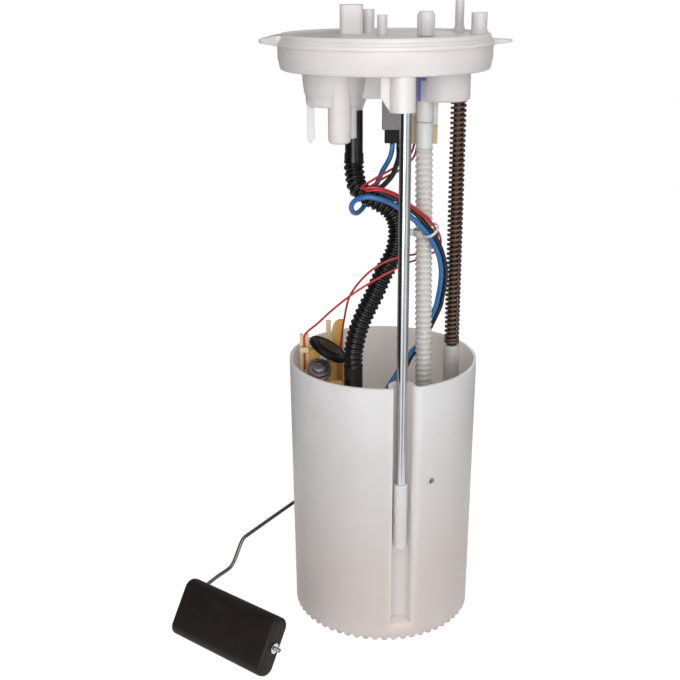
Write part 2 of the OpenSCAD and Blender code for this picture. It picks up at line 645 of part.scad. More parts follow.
// Level sender housing, with a recess for the plate and the pivot bore
module sender_body() color("#3a3a3c") in_sender_frame() difference() {
  union() {
    translate([sender_x, pivot_y - sender_w / 2, pivot_z - sender_h / 2])
      cube([sender_t - 2.4, sender_w, sender_h]);
    translate([sender_x, pivot_y, pivot_z]) rotate([0, 90, 0]) cylinder(r = 6, h = sender_t);
    translate([sender_x, pivot_y - plate_size[1] / 2 - 2, pivot_z + 3])
      cube([sender_t, plate_size[1] + 4, plate_size[2] + 4 - 2]);
  }
  translate([sender_x - 1, pivot_y, pivot_z]) rotate([0, 90, 0]) cylinder(r = arm_r + 0.08, h = sender_t + 2);
  translate([sender_face - plate_size[0], pivot_y - plate_size[1] / 2, pivot_z + 6.5])
    cube([2, plate_size[1], plate_size[2] + 8]);
  for (y = [-1, 1]) translate([sender_x - 1, pivot_y + y * 8 - 2, pivot_z - 17])
    cube([sender_t, 4, 8]);
}

module sender_plate() color("ivory") in_sender_frame() {
  translate([sender_face - plate_size[0], pivot_y - plate_size[1] / 2 + fit, pivot_z + 6.5 + fit])
    cube([plate_size[0] - 0.15, plate_size[1] - 2 * fit, plate_size[2] - 3.6]);
}

// The black hose: ridges at an even pitch along its route
module feed_hose() color("#1d1b1b") {
  path = smooth(hose_pts, 6);
  lengths = run_lengths(path);
  n = round(lengths[len(lengths) - 1] / hose_pitch);
  groove = [for (i = [0 : 2 * n]) i % 2 == 1 ? hose_groove : i == 0 || i == 2 * n ? hose_end : 0];
  sweep(even(path, 2 * n), [for (g = groove) hose_d / 2 - g], 10);
}

// The white tube: straight, with rounded ridges
module return_tube() color("#e4e2de") {
  axis = tube_b - tube_a;
  n = floor(norm(axis) / return_pitch);
  pitch = norm(axis) / n;
  translate(tube_a) rotate([0, acos(axis[2] / norm(axis)), atan2(axis[1], axis[0])])
    rotate_extrude() polygon(concat([[0, 0]], [for (i = [0 : n - 1]) each
      [[return_d / 2 - 1.1, i * pitch], [return_d / 2, (i + 0.3) * pitch],
        [return_d / 2, (i + 0.6) * pitch], [return_d / 2 - 1.1, (i + 0.9) * pitch]]],
      [[return_d / 2 - 1.1, norm(axis)], [0, norm(axis)]]));
}

// The spring on the rear rod, with closed end turns
module spring() color("#6e5a50") {
  mean_r = rear_rod_r + spring_gap + spring_wire / 2;
  length = spring_high - spring_low - spring_wire;
  closed = spring_wire * 1.1;
  rise = [[0, 0], [2, 2 * closed], [spring_turns - 1.2, length - 1.2 * closed], [spring_turns, length]];
  step = 12;
  path = [for (i = [0 : spring_turns * step]) let (a = 360 * i / step)
    [mean_r * cos(a), mean_r * sin(a), lookup(i / step, rise)]];
  translate([rear_xy[0], rear_xy[1], spring_low + spring_wire / 2])
    sweep(path, [for (i = path) spring_wire / 2], 6);
}

module blue_wire() color("#3a78b9") wire(blue_pts, supply_d);
module black_wire() color("#18181a") wire(black_pts, supply_d);
module red_wire_a() color("#be2d32") wire(red_a_pts, sender_d);
module red_wire_b() color("#be2d32") wire(red_b_pts, sender_d);

// The band that ties the wires to the return tube, and its loop round them
module wire_tie() color("#d9d8d6") {
  c = tube_a + (tube_b - tube_a) * (tie_z - tube_a[2]) / (tube_b[2] - tube_a[2]);
  difference() {
    union() {
      rod([c[0], c[1]], return_d / 2 + 1.3, tie_z - tie_h / 2, tie_z + tie_h / 2);
      translate(loop_c) rotate(loop_turn) translate([0, 0, -1]) difference() {
        cylinder(r = loop_r + 1, h = 2);
        translate([0, 0, -1]) cylinder(r = loop_r, h = 4);
      }
    }
    rod([c[0], c[1]], return_d / 2 + 0.2, tie_z - 10, tie_z + 10);
  }
}

// Profile of the cover: skirt, sealing land, lip, stepped ridge and pan
module cover_shell() rotate_extrude($fn = 120) translate([0, lip_z]) {
  polygon([[skirt_r - 2.8, -skirt_drop], [skirt_r - 1.1, -skirt_drop], [skirt_r - 0.3, -skirt_drop + 0.4],
    [skirt_r + 0.1, -skirt_drop + 1.3], [land_r - 0.2, lip_up - land_h - 0.4], [land_r, lip_up - land_h],
    [land_r, lip_up], [lip_r, lip_up], [lip_r, lip_up + 1.8], [lip_r - 0.4, lip_up + 2.3],
    [lip_r - 1, lip_up + 2.5], [lip_r - 1.1, lip_up + 3.5], [lip_r - 1.5, lip_up + 4], [lip_r - 2.1, lip_up + 4.3], [lip_r - 2.4, pan_h + 0.6], [lip_r - 3, pan_h + 1.3],
    [lip_r - 4, pan_h + 1.3], [lip_r - 4.7, pan_h + 0.6], [lip_r - 5.1, pan_h], [0, pan_h],
    [0, pan_h - plate_t], [skirt_r - 2.8, pan_h - plate_t]]);
}

// An ear: its side view crossed with its plan
module ear(width, tip, side_view) intersection() {
  translate([0, 0, lip_z - 5]) linear_extrude(20) polygon(concat([[lip_r - 8, -width / 2],
    [lip_r - 1, -width / 2]], [for (a = [-75 : 15 : 75]) [tip - width * 0.22 + width * 0.22 * cos(a),
    width * 0.27 * sin(a)]], [[lip_r - 1, width / 2], [lip_r - 8, width / 2]]));
  translate([0, 20, lip_z]) rotate([90, 0, 0]) linear_extrude(40) polygon(side_view);
}

module flange_cover() color("#e4e1e1") difference() {
  union() {
    cover_shell();
    rotate(180) ear(26, 76.9, [[58, lip_up], [lip_r - 0.5, lip_up], [75.5, lip_up + 1.1], [77, lip_up + 1.7],
      [77, lip_up + 3], [75.4, lip_up + 3.9], [lip_r - 0.5, lip_up + 5.9], [58, lip_up + 5.9]]);
    ear(20, 77.6, [[58, lip_up], [lip_r - 0.5, lip_up], [77, lip_up + 0.9], [78, lip_up + 1.5],
      [77.4, lip_up + 2.5], [lip_r - 0.5, lip_up + 2.9], [58, lip_up + 2.9]]);
    cover_ports();
    cover_bosses();
    left_chamber();
    right_cup();
    cover_webs();
  }
  cover_bores();
}

module cover_ports() {
  rod(port_xy, port_r, pan_z - eps, pan_z + 12.8);
  rod(port_xy, port_r + 0.7, pan_z - eps, pan_z + 2.5);
  rod([48.3, 30], 2.8, pan_z - eps, pan_z + 19);
  rod([48.3, 30], 3.5, pan_z - eps, pan_z + 3);
  rod([-2.2, -10], 3.1, pan_z - eps, pan_z + 12);
  rod([-9.2, 25], 3.6, pan_z - eps, pan_z + 14.2);
  rod(cap_xy, cap_r - 1.6, pan_z - eps, pan_z + 9);
  translate([shroud_xy[0], shroud_xy[1], pan_z - eps]) linear_extrude(shroud_size[2])
    round_rect(shroud_size[0], shroud_size[1], 3);
}

module cover_bosses() {
  rod(front_xy + boss_shift, boss_r, lip_z - boss_drop, pan_z - 1);
  translate([boss_shift[0], front_xy[1] + 7.5, lip_z]) rotate([90, 0, 0]) linear_extrude(9)
    polygon([[-3, pan_h - 1], [-3, -22], [front_xy[0] - boss_r + 0.4, -boss_drop],
      [front_xy[0], -boss_drop], [front_xy[0], pan_h - 1]]);
  rod(rear_xy, rear_boss_r, lip_z - right_drop, pan_z - 1);
  rod(nozzle_xy, nozzle_r, lip_z - nozzle_drop, pan_z - 1);
  rod(nozzle_xy, spigot_r, lip_z - nozzle_drop - 12, lip_z - nozzle_drop + 1);
  post(sender_plug_xy, [sender_plug_size[0], sender_plug_size[1], sender_plug_drop + pan_h - 1],
    lip_z - sender_plug_drop);
  post(power_xy, [12, 7, power_drop + pan_h - 1], lip_z - power_drop);
}

// The left chamber: stepped drum, blade, closed post and the tapered hose nozzle
module left_chamber() {
  translate([left_c[0], left_c[1], lip_z]) rotate_extrude() polygon([[0, -left_drop],
    [left_r - 1.6, -left_drop], [left_r - 0.4, -left_drop + 0.6], [left_r, -left_drop + 2],
    [left_r + 0.2, -26], [left_r + 1, -24], [left_r + 1.6, -20], [left_r + 2.3, -12],
    [left_r + 2.3, pan_h - 1], [0, pan_h - 1]]);
  translate([left_c[0] - left_r + 0.8, left_c[1] - 5, lip_z]) rotate([90, 0, 0]) {
    linear_extrude(1.5) blade_side(4.3);
    translate([0, 0, -3.5]) linear_extrude(4) blade_side(1.6);
  }
  translate([-28, -19, lip_z]) rotate_extrude() polygon([[0, -53.5], [5, -53.5], [6.4, -52.8],
    [7, -51], [7, pan_h - 1], [0, pan_h - 1]]);
  translate([hose_xy[0], hose_xy[1], lip_z]) rotate_extrude() polygon([[0, -50], [spigot_r - 0.7, -50],
    [spigot_r, -47], [spigot_r, -cuff_drop], [5.2, -cuff_drop], [7.6, -28.5], [7.6, pan_h - 1], [0, pan_h - 1]]);
  for (a = [14 : 36 : 338]) translate([hose_xy[0], hose_xy[1], lip_z]) rotate([90, 0, a])
    translate([0, 0, -0.5]) linear_extrude(1) polygon([[4.5, -cuff_drop], [5.4, -cuff_drop], [8.5, -28.5],
      [8.5, pan_h - 2], [4.5, pan_h - 2]]);
}

module blade_side(w) polygon([[0, -left_drop + 4], [0, -51.5], [1.2, -54], [min(w, 2.2), -54], [w, -51.5],
  [w, -left_drop + 4]]);

// The right cup, open below, joined to the rear rod's boss
module right_cup() {
  translate([right_c[0], right_c[1], lip_z]) rotate_extrude() polygon([[0, pan_h - 1], [right_r, pan_h - 1],
    [right_r, -right_drop + 2], [right_r - 0.5, -right_drop + 0.6], [right_r - 1.5, -right_drop],
    [right_r - cup_wall, -right_drop], [right_r - cup_wall, pan_h - plate_t], [0, pan_h - plate_t]]);
  translate([right_c[0] + 3, right_c[1] + 13, lip_z - right_drop + 1])
    cube([14, 8, right_drop + pan_h - 2]);
}

module cover_webs() {
  translate([-16, -7.4, lip_z - 28.3]) cube([34, 2.2, 28.3 + pan_h - 1]);
  for (a = [70, 100, 150, 215, 250, 310, 345]) rotate(a)
    translate([8, -0.7, lip_z - 4]) cube([skirt_r - 10, 1.4, 4 + pan_h - 1]);
}

module cover_bores() {
  rod(front_xy, rod_r + fit, lip_z - boss_drop - 1, lip_z - boss_drop + rod_seat + seat);
  rod(rear_xy, rear_rod_r + fit, lip_z - right_drop - 1, lip_z - right_drop + rod_seat + seat);
  rod(port_xy, port_r - port_wall, pan_z - plate_t - 1, pan_z + 20);
  rod([48.3, 30], 1.6, pan_z - plate_t - 1, pan_z + 30);
  rod([-2.2, -10], 1.8, pan_z - plate_t - 1, pan_z + 30);
  rod([-9.2, 25], 2.2, pan_z + 3, pan_z + 30);
  rod(cap_xy, cap_r - 3, pan_z - plate_t - 1, pan_z + 30);
  rod(nozzle_xy, spigot_r - 1.3, lip_z - nozzle_drop - 13, pan_z - plate_t);
  rod(hose_xy, spigot_r - 1.3, lip_z - 51, lip_z - 20);
  rod(stub_xy, stub_r - 1 + fit, lip_z - left_drop - 1, lip_z - left_drop + 4);
  rod(stub_xy, 1.4, lip_z - left_drop - 1, lip_z - left_drop + 6);
  rod(left_c, left_r - cup_wall, lip_z - left_drop + 5, pan_z - plate_t);
  post(sender_plug_xy, tongue + [2 * seat, 2 * seat, 2 * seat], lip_z - sender_plug_drop - seat);
  translate([shroud_xy[0], shroud_xy[1], pan_z + 4]) linear_extrude(shroud_size[2])
    round_rect(shroud_size[0] - 2 * shroud_wall, shroud_size[1] - 2 * shroud_wall, 1.6);
}

module guide_rod_front() color("#9aa0a4") rod(front_xy, rod_r, sleeve_z + 3, lip_z - boss_drop + rod_seat);

module guide_rod_rear() color("#9aa0a4") {
  rod(rear_xy, rear_rod_r, step_z - seat - ring_h - 3, lip_z - right_drop + rod_seat);
}

// White sleeve on the lower end of the front rod, in two steps with a rounded end
module rod_sleeve() color("#f1efec") translate([front_xy[0], front_xy[1], sleeve_z]) difference() {
  rotate_extrude() polygon([[0, 0], [sleeve_d / 2 - 2, 0.3], [sleeve_d / 2 - 0.6, 1.5],
    [sleeve_d / 2 - 0.1, 3.5], [sleeve_d / 2 - 0.1, sleeve_len * 0.52], [sleeve_d / 2, sleeve_len * 0.53],
    [sleeve_d / 2, sleeve_len - 0.8], [sleeve_d / 2 - 0.6, sleeve_len], [0, sleeve_len]]);
  translate([0, 0, 3]) cylinder(r = rod_r + fit, h = sleeve_len);
}

module rod_stop_ring() color("#8c8f92")
  pipe(rear_xy, ring_r, rear_rod_r + fit, step_z - seat - ring_h, step_z - seat);

module power_socket() color("#7c797c") difference() {
  post(power_xy, power_size, lip_z - power_drop - power_size[2] - seat);
  post(power_xy, [plug_size[0] + 2 * seat, plug_size[1] + 2 * seat, plug_in + 1 + seat],
    lip_z - power_drop - power_size[2] - seat - 1);
}

module power_plug() color("#151618") post(power_xy, plug_size, plug_z);

// Plug of the sender wires: its tongue goes up into the cover's white shroud
module sender_plug() color("#cbb68b") {
  post(sender_plug_xy, sender_plug_size, sender_plug_z);
  post(sender_plug_xy, tongue, sender_plug_z + sender_plug_size[2] - eps);
  post(sender_plug_xy + [-5.6, -sender_plug_size[1] / 2 - 1], [5, 1.4, 14], sender_plug_z + 3);
  post(sender_plug_xy + [-5.6, -sender_plug_size[1] / 2 - 0.3], [5, 1.2, 3], sender_plug_z + 3);
}

// Blue clip against the front of the right cup: an upright bar with a short arm
module blue_clip() color("#2b3fc0") translate([nozzle_xy[0] - 5.2, blue_y, lip_z - 29]) {
  cube([clip_bar, 1.3, 13.8]);
  translate([0, 0, 12.1]) cube([4.8, 1.3, clip_bar]);
}

module vent_stub() color("#e3dcc8") {
  rod(stub_xy, stub_r, lip_z - 52, lip_z - left_drop - seat);
  rod(stub_xy, stub_r - 1, lip_z - left_drop - seat - eps, lip_z - left_drop + 4 - seat);
}

// The fluted cap pushed over the vent port
module vent_cap() color("#ecebea") translate([cap_xy[0], cap_xy[1], pan_z + seat]) difference() {
  union() {
    rotate_extrude() polygon([[0, 0], [cap_r - 0.3, 0], [cap_r - 0.3, 12.4], [cap_r - 1.2, 14], [0, 14.2]]);
    for (a = [0 : 30 : 330]) rotate(a) translate([cap_r - 0.9, -0.7, 0]) cube([0.9, 1.4, 12]);
  }
  translate([0, 0, -1]) cylinder(r = cap_r - 1.6 + fit, h = 10);
}

module socket_pins() color("#c9b072") for (x = [-1, 1], y = [-1, 0, 1])
  post(shroud_xy + [x * 2.8, y * 4.6], [0.8, 2, 6.5], pan_z + 4);

module feed_hose_cuff() color("#1b1b1b") difference() {
  union() {
    rod(hose_xy, 5.65, cuff_bottom, lip_z - cuff_drop - seat);
    rod(hose_xy, 6.1, cuff_bottom, cuff_bottom + 5);
  }
  rod(hose_xy, spigot_r + fit, cuff_bottom - 1, lip_z);
}

module return_tube_cuff() color("#e9e7e3") difference() {
  rod(nozzle_xy, nozzle_r - 0.1, nozzle_z + seat, lip_z - nozzle_drop - seat);
  rod(nozzle_xy, spigot_r + fit, nozzle_z - 1, lip_z);
}

// The arm: a bent wire from the pivot bore to the far end of the float
module arm_wire() color("#857b72") in_sender_frame() {
  last = len(arm_pts) - 1;
  bent = [for (i = [1 : last - 1]) arm_pts[i]];
  sweep(bent, [for (p = bent) arm_r], 10);
  translate(arm_pts[0]) rotate([0, 90, 0]) cylinder(r = arm_r, h = arm_pts[1][0] - arm_pts[0][0] + 0.4);
  translate(arm_pts[last]) rotate([0, 90, 0])
    cylinder(r = arm_r, h = arm_pts[last - 1][0] - arm_pts[last][0] + 0.4);
}

module on_pivot(x) in_sender_frame() translate([x, pivot_y, pivot_z]) rotate([0, 90, 0]) children();

module arm_hub() color("#d8cfc0") on_pivot(hub_x) difference() {
  union() {
    cylinder(r = 5, h = arm_x - arm_bend - hub_x - 0.2);
    cylinder(r = 6.5, h = 1.6);
  }
  translate([0, 0, -1]) cylinder(r = arm_r + fit, h = 20);
}

// The wiper that runs over the plate, on the hub's inner face
module wiper() color("#b08d57") on_pivot(hub_x - wiper_t) difference() {
  union() {
    cylinder(r = 4.5, h = wiper_t);
    for (y = [-1, 1]) rotate(-155) translate([2, y * 1.6 - 0.6, 0]) cube([13.5, 1.2, wiper_t]);
  }
  translate([0, 0, -1]) cylinder(r = arm_r + fit, h = 3);
}

module push_washer() color("#9c9c9c") in_sender_frame()
  translate([float_x - seat - washer_t, float_y, float_z]) rotate([0, 90, 0]) difference() {
    cylinder(r = 3.4, h = washer_t);
    translate([0, 0, -1]) cylinder(r = arm_r + fit, h = 3);
  }

// The float: three rounded outlines crossed, turning on the arm wire
module float() color("#26221f") in_sender_frame() translate([float_x, float_y, float_z])
  rotate([-float_tilt, 0, 0]) difference() {
    intersection() {
      rotate([90, 0, 90]) linear_extrude(float_l) round_rect(float_w, float_t, 4);
      translate([float_l / 2, 0, -float_t]) linear_extrude(2 * float_t) round_rect(float_l, float_w, 4);
      translate([float_l / 2, float_w, 0]) rotate([90, 0, 0]) linear_extrude(2 * float_w)
        round_rect(float_l, float_t, 3);
    }
    translate([-1, 0, 0]) rotate([0, 90, 0]) cylinder(r = arm_r + 0.1, h = float_l + 2);
  }

reservoir_pot();
inlet_valve();
suction_strainer();
jet_pump();
return_tube_foot();
pump_can();
pump_cap();
pump_head();
pump_holder();
rubber_mount();
holder_clip();
regulator();
regulator_cap();
pump_plug();
feed_hose_foot();
sender_body();
sender_plate();
feed_hose();
return_tube();
spring();
blue_wire();
black_wire();
red_wire_a();
red_wire_b();
wire_tie();
flange_cover();
guide_rod_front();
guide_rod_rear();
rod_sleeve();
rod_stop_ring();
power_socket();
power_plug();
sender_plug();
blue_clip();
vent_stub();
vent_cap();
socket_pins();
feed_hose_cuff();
return_tube_cuff();
arm_wire();
arm_hub();
wiper();
push_washer();
float();
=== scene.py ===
"""Looks of the in-tank fuel pump module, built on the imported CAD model. Metres."""

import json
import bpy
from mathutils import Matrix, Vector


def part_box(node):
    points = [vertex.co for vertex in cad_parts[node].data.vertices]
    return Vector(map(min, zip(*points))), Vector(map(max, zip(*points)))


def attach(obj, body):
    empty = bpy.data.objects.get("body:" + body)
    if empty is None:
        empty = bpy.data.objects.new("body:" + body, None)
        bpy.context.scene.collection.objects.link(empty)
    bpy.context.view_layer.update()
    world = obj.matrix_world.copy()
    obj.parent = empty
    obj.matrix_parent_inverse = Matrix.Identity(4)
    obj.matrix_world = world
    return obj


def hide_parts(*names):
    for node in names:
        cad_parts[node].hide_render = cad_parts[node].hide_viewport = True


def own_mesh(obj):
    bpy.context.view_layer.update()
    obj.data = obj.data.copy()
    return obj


bl_info = {
    "name": "In-tank fuel pump module",
    "version": (1, 0, 0),
    "blender": (4, 5, 0),
    "location": "3D View > Sidebar > Pump module",
    "description": "Hoses, wires, spring, arm and float of the module, and the finish of every part",
    "category": "Object",
}

from functools import partial
from math import radians

import bpy
import numpy as np
from mathutils import Matrix, Vector

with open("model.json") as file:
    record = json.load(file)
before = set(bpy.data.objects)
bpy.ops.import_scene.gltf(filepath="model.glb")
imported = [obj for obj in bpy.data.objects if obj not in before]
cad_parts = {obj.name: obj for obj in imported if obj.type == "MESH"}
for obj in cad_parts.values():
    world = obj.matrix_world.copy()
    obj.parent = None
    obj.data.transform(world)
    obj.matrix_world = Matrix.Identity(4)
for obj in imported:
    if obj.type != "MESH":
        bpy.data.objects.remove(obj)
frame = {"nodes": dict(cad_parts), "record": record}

# Routes of the soft pieces: the CAD source's points, with one fewer on the second red wire, beside
# the clip, where it runs a little smoother
HOSE_ROUTE = np.array([
    (-0.019, 0.0025, 0.3117), (-0.019, 0.0025, 0.3076), (-0.0184, 0.0015, 0.3031),
    (-0.0173, -0.0012, 0.2975), (-0.0143, -0.0042, 0.2935), (-0.0084, -0.007, 0.2906),
    (-0.0012, -0.009, 0.2869), (0.0045, -0.01, 0.2825), (0.0079, -0.01, 0.276),
    (0.0088, -0.01, 0.2692), (0.0082, -0.0105, 0.2625), (0.0059, -0.011, 0.2541),
    (-0.0006, -0.0125, 0.242), (-0.0062, -0.0145, 0.2292), (-0.0126, -0.0165, 0.2164),
    (-0.0169, -0.0175, 0.2052), (-0.02, -0.018, 0.19), (-0.02, -0.018, 0.1813),
])
BLUE_ROUTE = np.array([
    (0.0052, 0.002, 0.3232), (0.0051, 0.002, 0.3198), (0.0042, 0.0023, 0.3154),
    (0.0023, 0.0028, 0.311), (-0.0005, 0.0035, 0.3061), (-0.0036, 0.0045, 0.2989),
    (-0.0067, 0.0055, 0.2929), (-0.0103, 0.005, 0.2865), (-0.0132, 0.002, 0.2823),
    (-0.0152, -0.002, 0.281), (-0.0174, -0.0075, 0.2808), (-0.0196, -0.013, 0.2824),
    (-0.021, -0.018, 0.286), (-0.0205, -0.022, 0.2896), (-0.0182, -0.025, 0.2927),
    (-0.0142, -0.0275, 0.2947), (-0.0097, -0.0285, 0.2953), (-0.0035, -0.0285, 0.2939),
    (0.0027, -0.027, 0.2912), (0.0077, -0.025, 0.2878), (0.0155, -0.0205, 0.2813),
    (0.0221, -0.0175, 0.2748), (0.0268, -0.015, 0.2691), (0.0314, -0.012, 0.2614),
    (0.0351, -0.0085, 0.2526), (0.0374, -0.0035, 0.2419), (0.0376, 0.0015, 0.231),
    (0.0365, 0.005, 0.2203), (0.0345, 0.006, 0.2117), (0.025, 0.006, 0.1895),
    (0.019, 0.001, 0.1835), (0.013, -0.009, 0.179), (0.007, -0.018, 0.173),
    (0.0014, -0.025, 0.1665), (0, -0.026, 0.163), (0, -0.026, 0.1603),
])
BLACK_ROUTE = np.array([
    (0.0092, 0.002, 0.3232), (0.0092, 0.0014, 0.32), (0.0091, -0.0024, 0.3178),
    (0.0085, -0.0084, 0.3154), (0.0069, -0.013, 0.3116), (0.0045, -0.017, 0.3065),
    (-0.0015, -0.0225, 0.301), (-0.006, -0.0275, 0.2995), (-0.003, -0.0313, 0.2993),
    (0.0025, -0.0295, 0.2956), (0.0082, -0.027, 0.2924), (0.0153, -0.022, 0.286),
    (0.0207, -0.018, 0.2812), (0.0261, -0.0146, 0.2744), (0.0301, -0.012, 0.2688),
    (0.0342, -0.0094, 0.2623), (0.0379, -0.0055, 0.2531), (0.0405, -0.0005, 0.2421),
    (0.0409, 0.0045, 0.2301), (0.0397, 0.008, 0.2194), (0.0378, 0.0096, 0.2105),
    (0.027, 0.01, 0.187), (0.02, 0.0048, 0.18), (0.0145, -0.007, 0.1745), (0.01, -0.017, 0.1705),
    (0.006, -0.025, 0.1662), (0.005, -0.026, 0.163), (0.005, -0.026, 0.1603),
])
RED_A_ROUTE = np.array([
    (0.0196, 0.009, 0.322), (0.017, 0.002, 0.317), (0.009, -0.007, 0.3113),
    (0.0025, -0.014, 0.3087), (-0.0032, -0.0185, 0.3065), (-0.0095, -0.023, 0.3037),
    (-0.0139, -0.0275, 0.3019), (-0.0151, -0.0305, 0.3012), (-0.0128, -0.033, 0.3015),
    (-0.0086, -0.034, 0.3021), (-0.0038, -0.034, 0.3017), (0.0023, -0.0325, 0.2995),
    (0.0079, -0.0309, 0.2965), (0.015, -0.0269, 0.2904), (0.0215, -0.0228, 0.2849),
    (0.027, -0.0174, 0.2794), (0.0315, -0.0106, 0.2726), (0.0339, -0.007, 0.2667),
    (0.0348, -0.0015, 0.261), (0.0331, 0.0038, 0.2558), (0.0276, 0.0064, 0.2522),
    (0.0214, 0.003, 0.251), (0.0174, -0.004, 0.2522), (0.0147, -0.0105, 0.2534),
    (0.0117, -0.0165, 0.2545), (0.0084, -0.02, 0.2547), (0.0027, -0.0205, 0.2532),
    (-0.003, -0.021, 0.2505), (-0.0086, -0.02, 0.2464), (-0.0136, -0.017, 0.2407),
    (-0.0189, -0.01, 0.232), (-0.0225, -0.001, 0.2226), (-0.0244, 0.007, 0.2125),
    (-0.0253, 0.0125, 0.2055), (-0.0262, 0.015, 0.1993), (-0.0272, 0.0161, 0.1917),
    (-0.0282, 0.0161, 0.181),
])
RED_B_ROUTE = np.array([
    (0.0219, 0.009, 0.322), (0.0183, 0.001, 0.314), (0.009, -0.008, 0.3078),
    (0.0025, -0.0145, 0.3059), (-0.0032, -0.019, 0.3038), (-0.0077, -0.023, 0.3018),
    (-0.0112, -0.0276, 0.3006), (-0.0125, -0.031, 0.3001), (-0.0101, -0.0336, 0.3002),
    (-0.0068, -0.0346, 0.3007), (-0.0026, -0.0344, 0.3002), (0.0029, -0.0324, 0.2979),
    (0.0086, -0.0296, 0.2944), (0.0157, -0.025, 0.2882), (0.0224, -0.02, 0.2821),
    (0.0282, -0.0164, 0.2766), (0.0329, -0.0126, 0.271), (0.0358, -0.007, 0.2654),
    (0.0369, -0.0015, 0.2592), (0.035, 0.0048, 0.2528), (0.0284, 0.008, 0.2483),
    (0.0216, 0.0046, 0.2466), (0.0175, -0.004, 0.2477), (0.0147, -0.0105, 0.2486),
    (0.0118, -0.0165, 0.2491), (0.0091, -0.02, 0.2486), (0.0027, -0.021, 0.2454),
    (-0.003, -0.0225, 0.2427), (-0.0094, -0.0245, 0.2395), (-0.017, -0.026, 0.2351),
    (-0.0252, -0.025, 0.2288), (-0.0349, -0.018, 0.2184), (-0.0429, -0.009, 0.208),
    (-0.0516, 0.0012, 0.1972), (-0.0525, 0.0018, 0.192),
    (-0.0525, 0.0014, 0.1876), (-0.0525, 0.0013, 0.182), (-0.0525, 0.0013, 0.172),
])
TUBE_FOOT = np.array((0.029, -0.005, 0.060))
TUBE_TOP = np.array((0.0247, -0.005, 0.321))

# The tie: its height on the white tube, and the loop round the wires with its turns about x and y
TIE_HEIGHT = 0.2674
TIE_LOOP = np.array((0.0289, -0.0135, 0.2707))
TIE_TURN = (radians(23), radians(-33.8))

# Gap between the white tube's ridges and the strap, and the head's profile: how far each section
# lies from the strap, and its share of the full size
TIE_GAP = 0.0002
TIE_HEAD_AT = np.array((0.0, 0.0003, 0.0012, 0.005, 0.0058, 0.0061))
TIE_HEAD_SIZE = np.array((0.7, 0.92, 1.0, 1.0, 0.92, 0.7))

# Chamfer at a rod's ends, and how much of each end has closer sections
ROD_CHAMFER, ROD_END = 0.0005, 0.004

# The spring's end turns: at each turn from an end, the climb in wire diameters
SPRING_FOOT_TURNS, SPRING_FOOT_CLIMB = 2, 2.2
SPRING_HEAD_TURNS, SPRING_HEAD_CLIMB = 1.2, 1.32

# The arm in the sender's own frame: x points out of the pot, z up
SENDER_ANGLE = radians(142.2)
ARM_ROUTE = np.array([
    (0.06295, -0.01, 0.051), (0.0762, -0.01, 0.051), (0.0762, 0.00496, 0.04979),
    (0.0762, 0.03352, 0.0475), (0.0762, 0.06004, 0.04521), (0.0762, 0.06276, 0.04443),
    (0.0762, 0.06548, 0.04153), (0.0762, 0.07228, 0.03128), (0.0762, 0.07568, 0.02838),
    (0.0762, 0.07976, 0.02746), (0.0762, 0.09064, 0.02707), (0.0762, 0.0988, 0.02588),
    (0.0762, 0.126, 0.0247), (-0.0122, 0.126, 0.0247),
])
ARM_BEND = 0.004
FLOAT_START = np.array((-0.0072, 0.126, 0.0247))
FLOAT_BORE_GAP = 0.0001

# Sides of the round sections and steps along each ridge or turn, fine enough to look smooth
HOSE_SIDES, TUBE_SIDES, ROD_SIDES, SPRING_SIDES, WIRE_SIDES, ARM_SIDES = 40, 48, 96, 14, 18, 20
RIDGE_STEPS, TURN_STEPS, WIRE_STEPS, FLOAT_SIDES, STRAP_SIDES = 12, 36, 420, 64, 28


# Curves and surfaces

def smooth_route(points, per_span):
    """A curve through the points: on each span a cubic whose slope at a point is half the step
    between that point's two neighbours."""
    ends = np.vstack((2 * points[0] - points[1], points, 2 * points[-1] - points[-2]))
    a, b, c, d = (ends[i:len(ends) - 3 + i, None] for i in range(4))
    t = np.linspace(0, 1, per_span, endpoint=False)[None, :, None]
    spans = 0.5 * (2 * b + (c - a) * t + (2 * a - 5 * b + 4 * c - d) * t ** 2
                   + (3 * b - a - 3 * c + d) * t ** 3)
    return np.vstack((spans.reshape(-1, 3), points[-1:]))


def rounded_route(points, radius, steps=10):
    """The straight legs between the points, with each corner replaced by a parabola that starts
    and ends the given distance from it, or nearly half a leg where the leg is short."""
    corner = points[1:-1]
    legs = np.stack((points[:-2], points[2:])) - corner
    share = np.minimum(0.48, radius / np.linalg.norm(legs, axis=2))[..., None]
    start, end = (corner + legs * share)[:, :, None]
    t = np.linspace(0, 1, steps)[None, :, None]
    bends = (1 - t) ** 2 * start + 2 * t * (1 - t) * corner[:, None] + t ** 2 * end
    return np.vstack((points[:1], bends.reshape(-1, 3), points[-1:]))


def distances(path):
    """Distance along the path from its start to each point."""
    return np.concatenate(([0.0], np.cumsum(np.linalg.norm(np.diff(path, axis=0), axis=1))))


def even_route(path, count):
    """The path at that number of equal steps."""
    run = distances(path)
    at = np.linspace(0, run[-1], count + 1)
    return np.column_stack([np.interp(at, run, path[:, k]) for k in range(3)])


def path_frame(path):
    """Two unit vectors square to the path at each point. The first comes from one fixed direction,
    the one among many that stays farthest from the path's own."""
    along = np.gradient(path, axis=0)
    along /= np.linalg.norm(along, axis=1)[:, None]
    k = np.arange(400)
    height, turn = (k + 0.5) / 400, k * 2.399963
    flat = np.sqrt(1 - height ** 2)
    fixed = np.column_stack((flat * np.cos(turn), flat * np.sin(turn), height))
    best = fixed[np.abs(fixed @ along.T).max(axis=1).argmin()]
    side = best - (along @ best)[:, None] * along
    side /= np.linalg.norm(side, axis=1)[:, None]
    return side, np.cross(along, side)


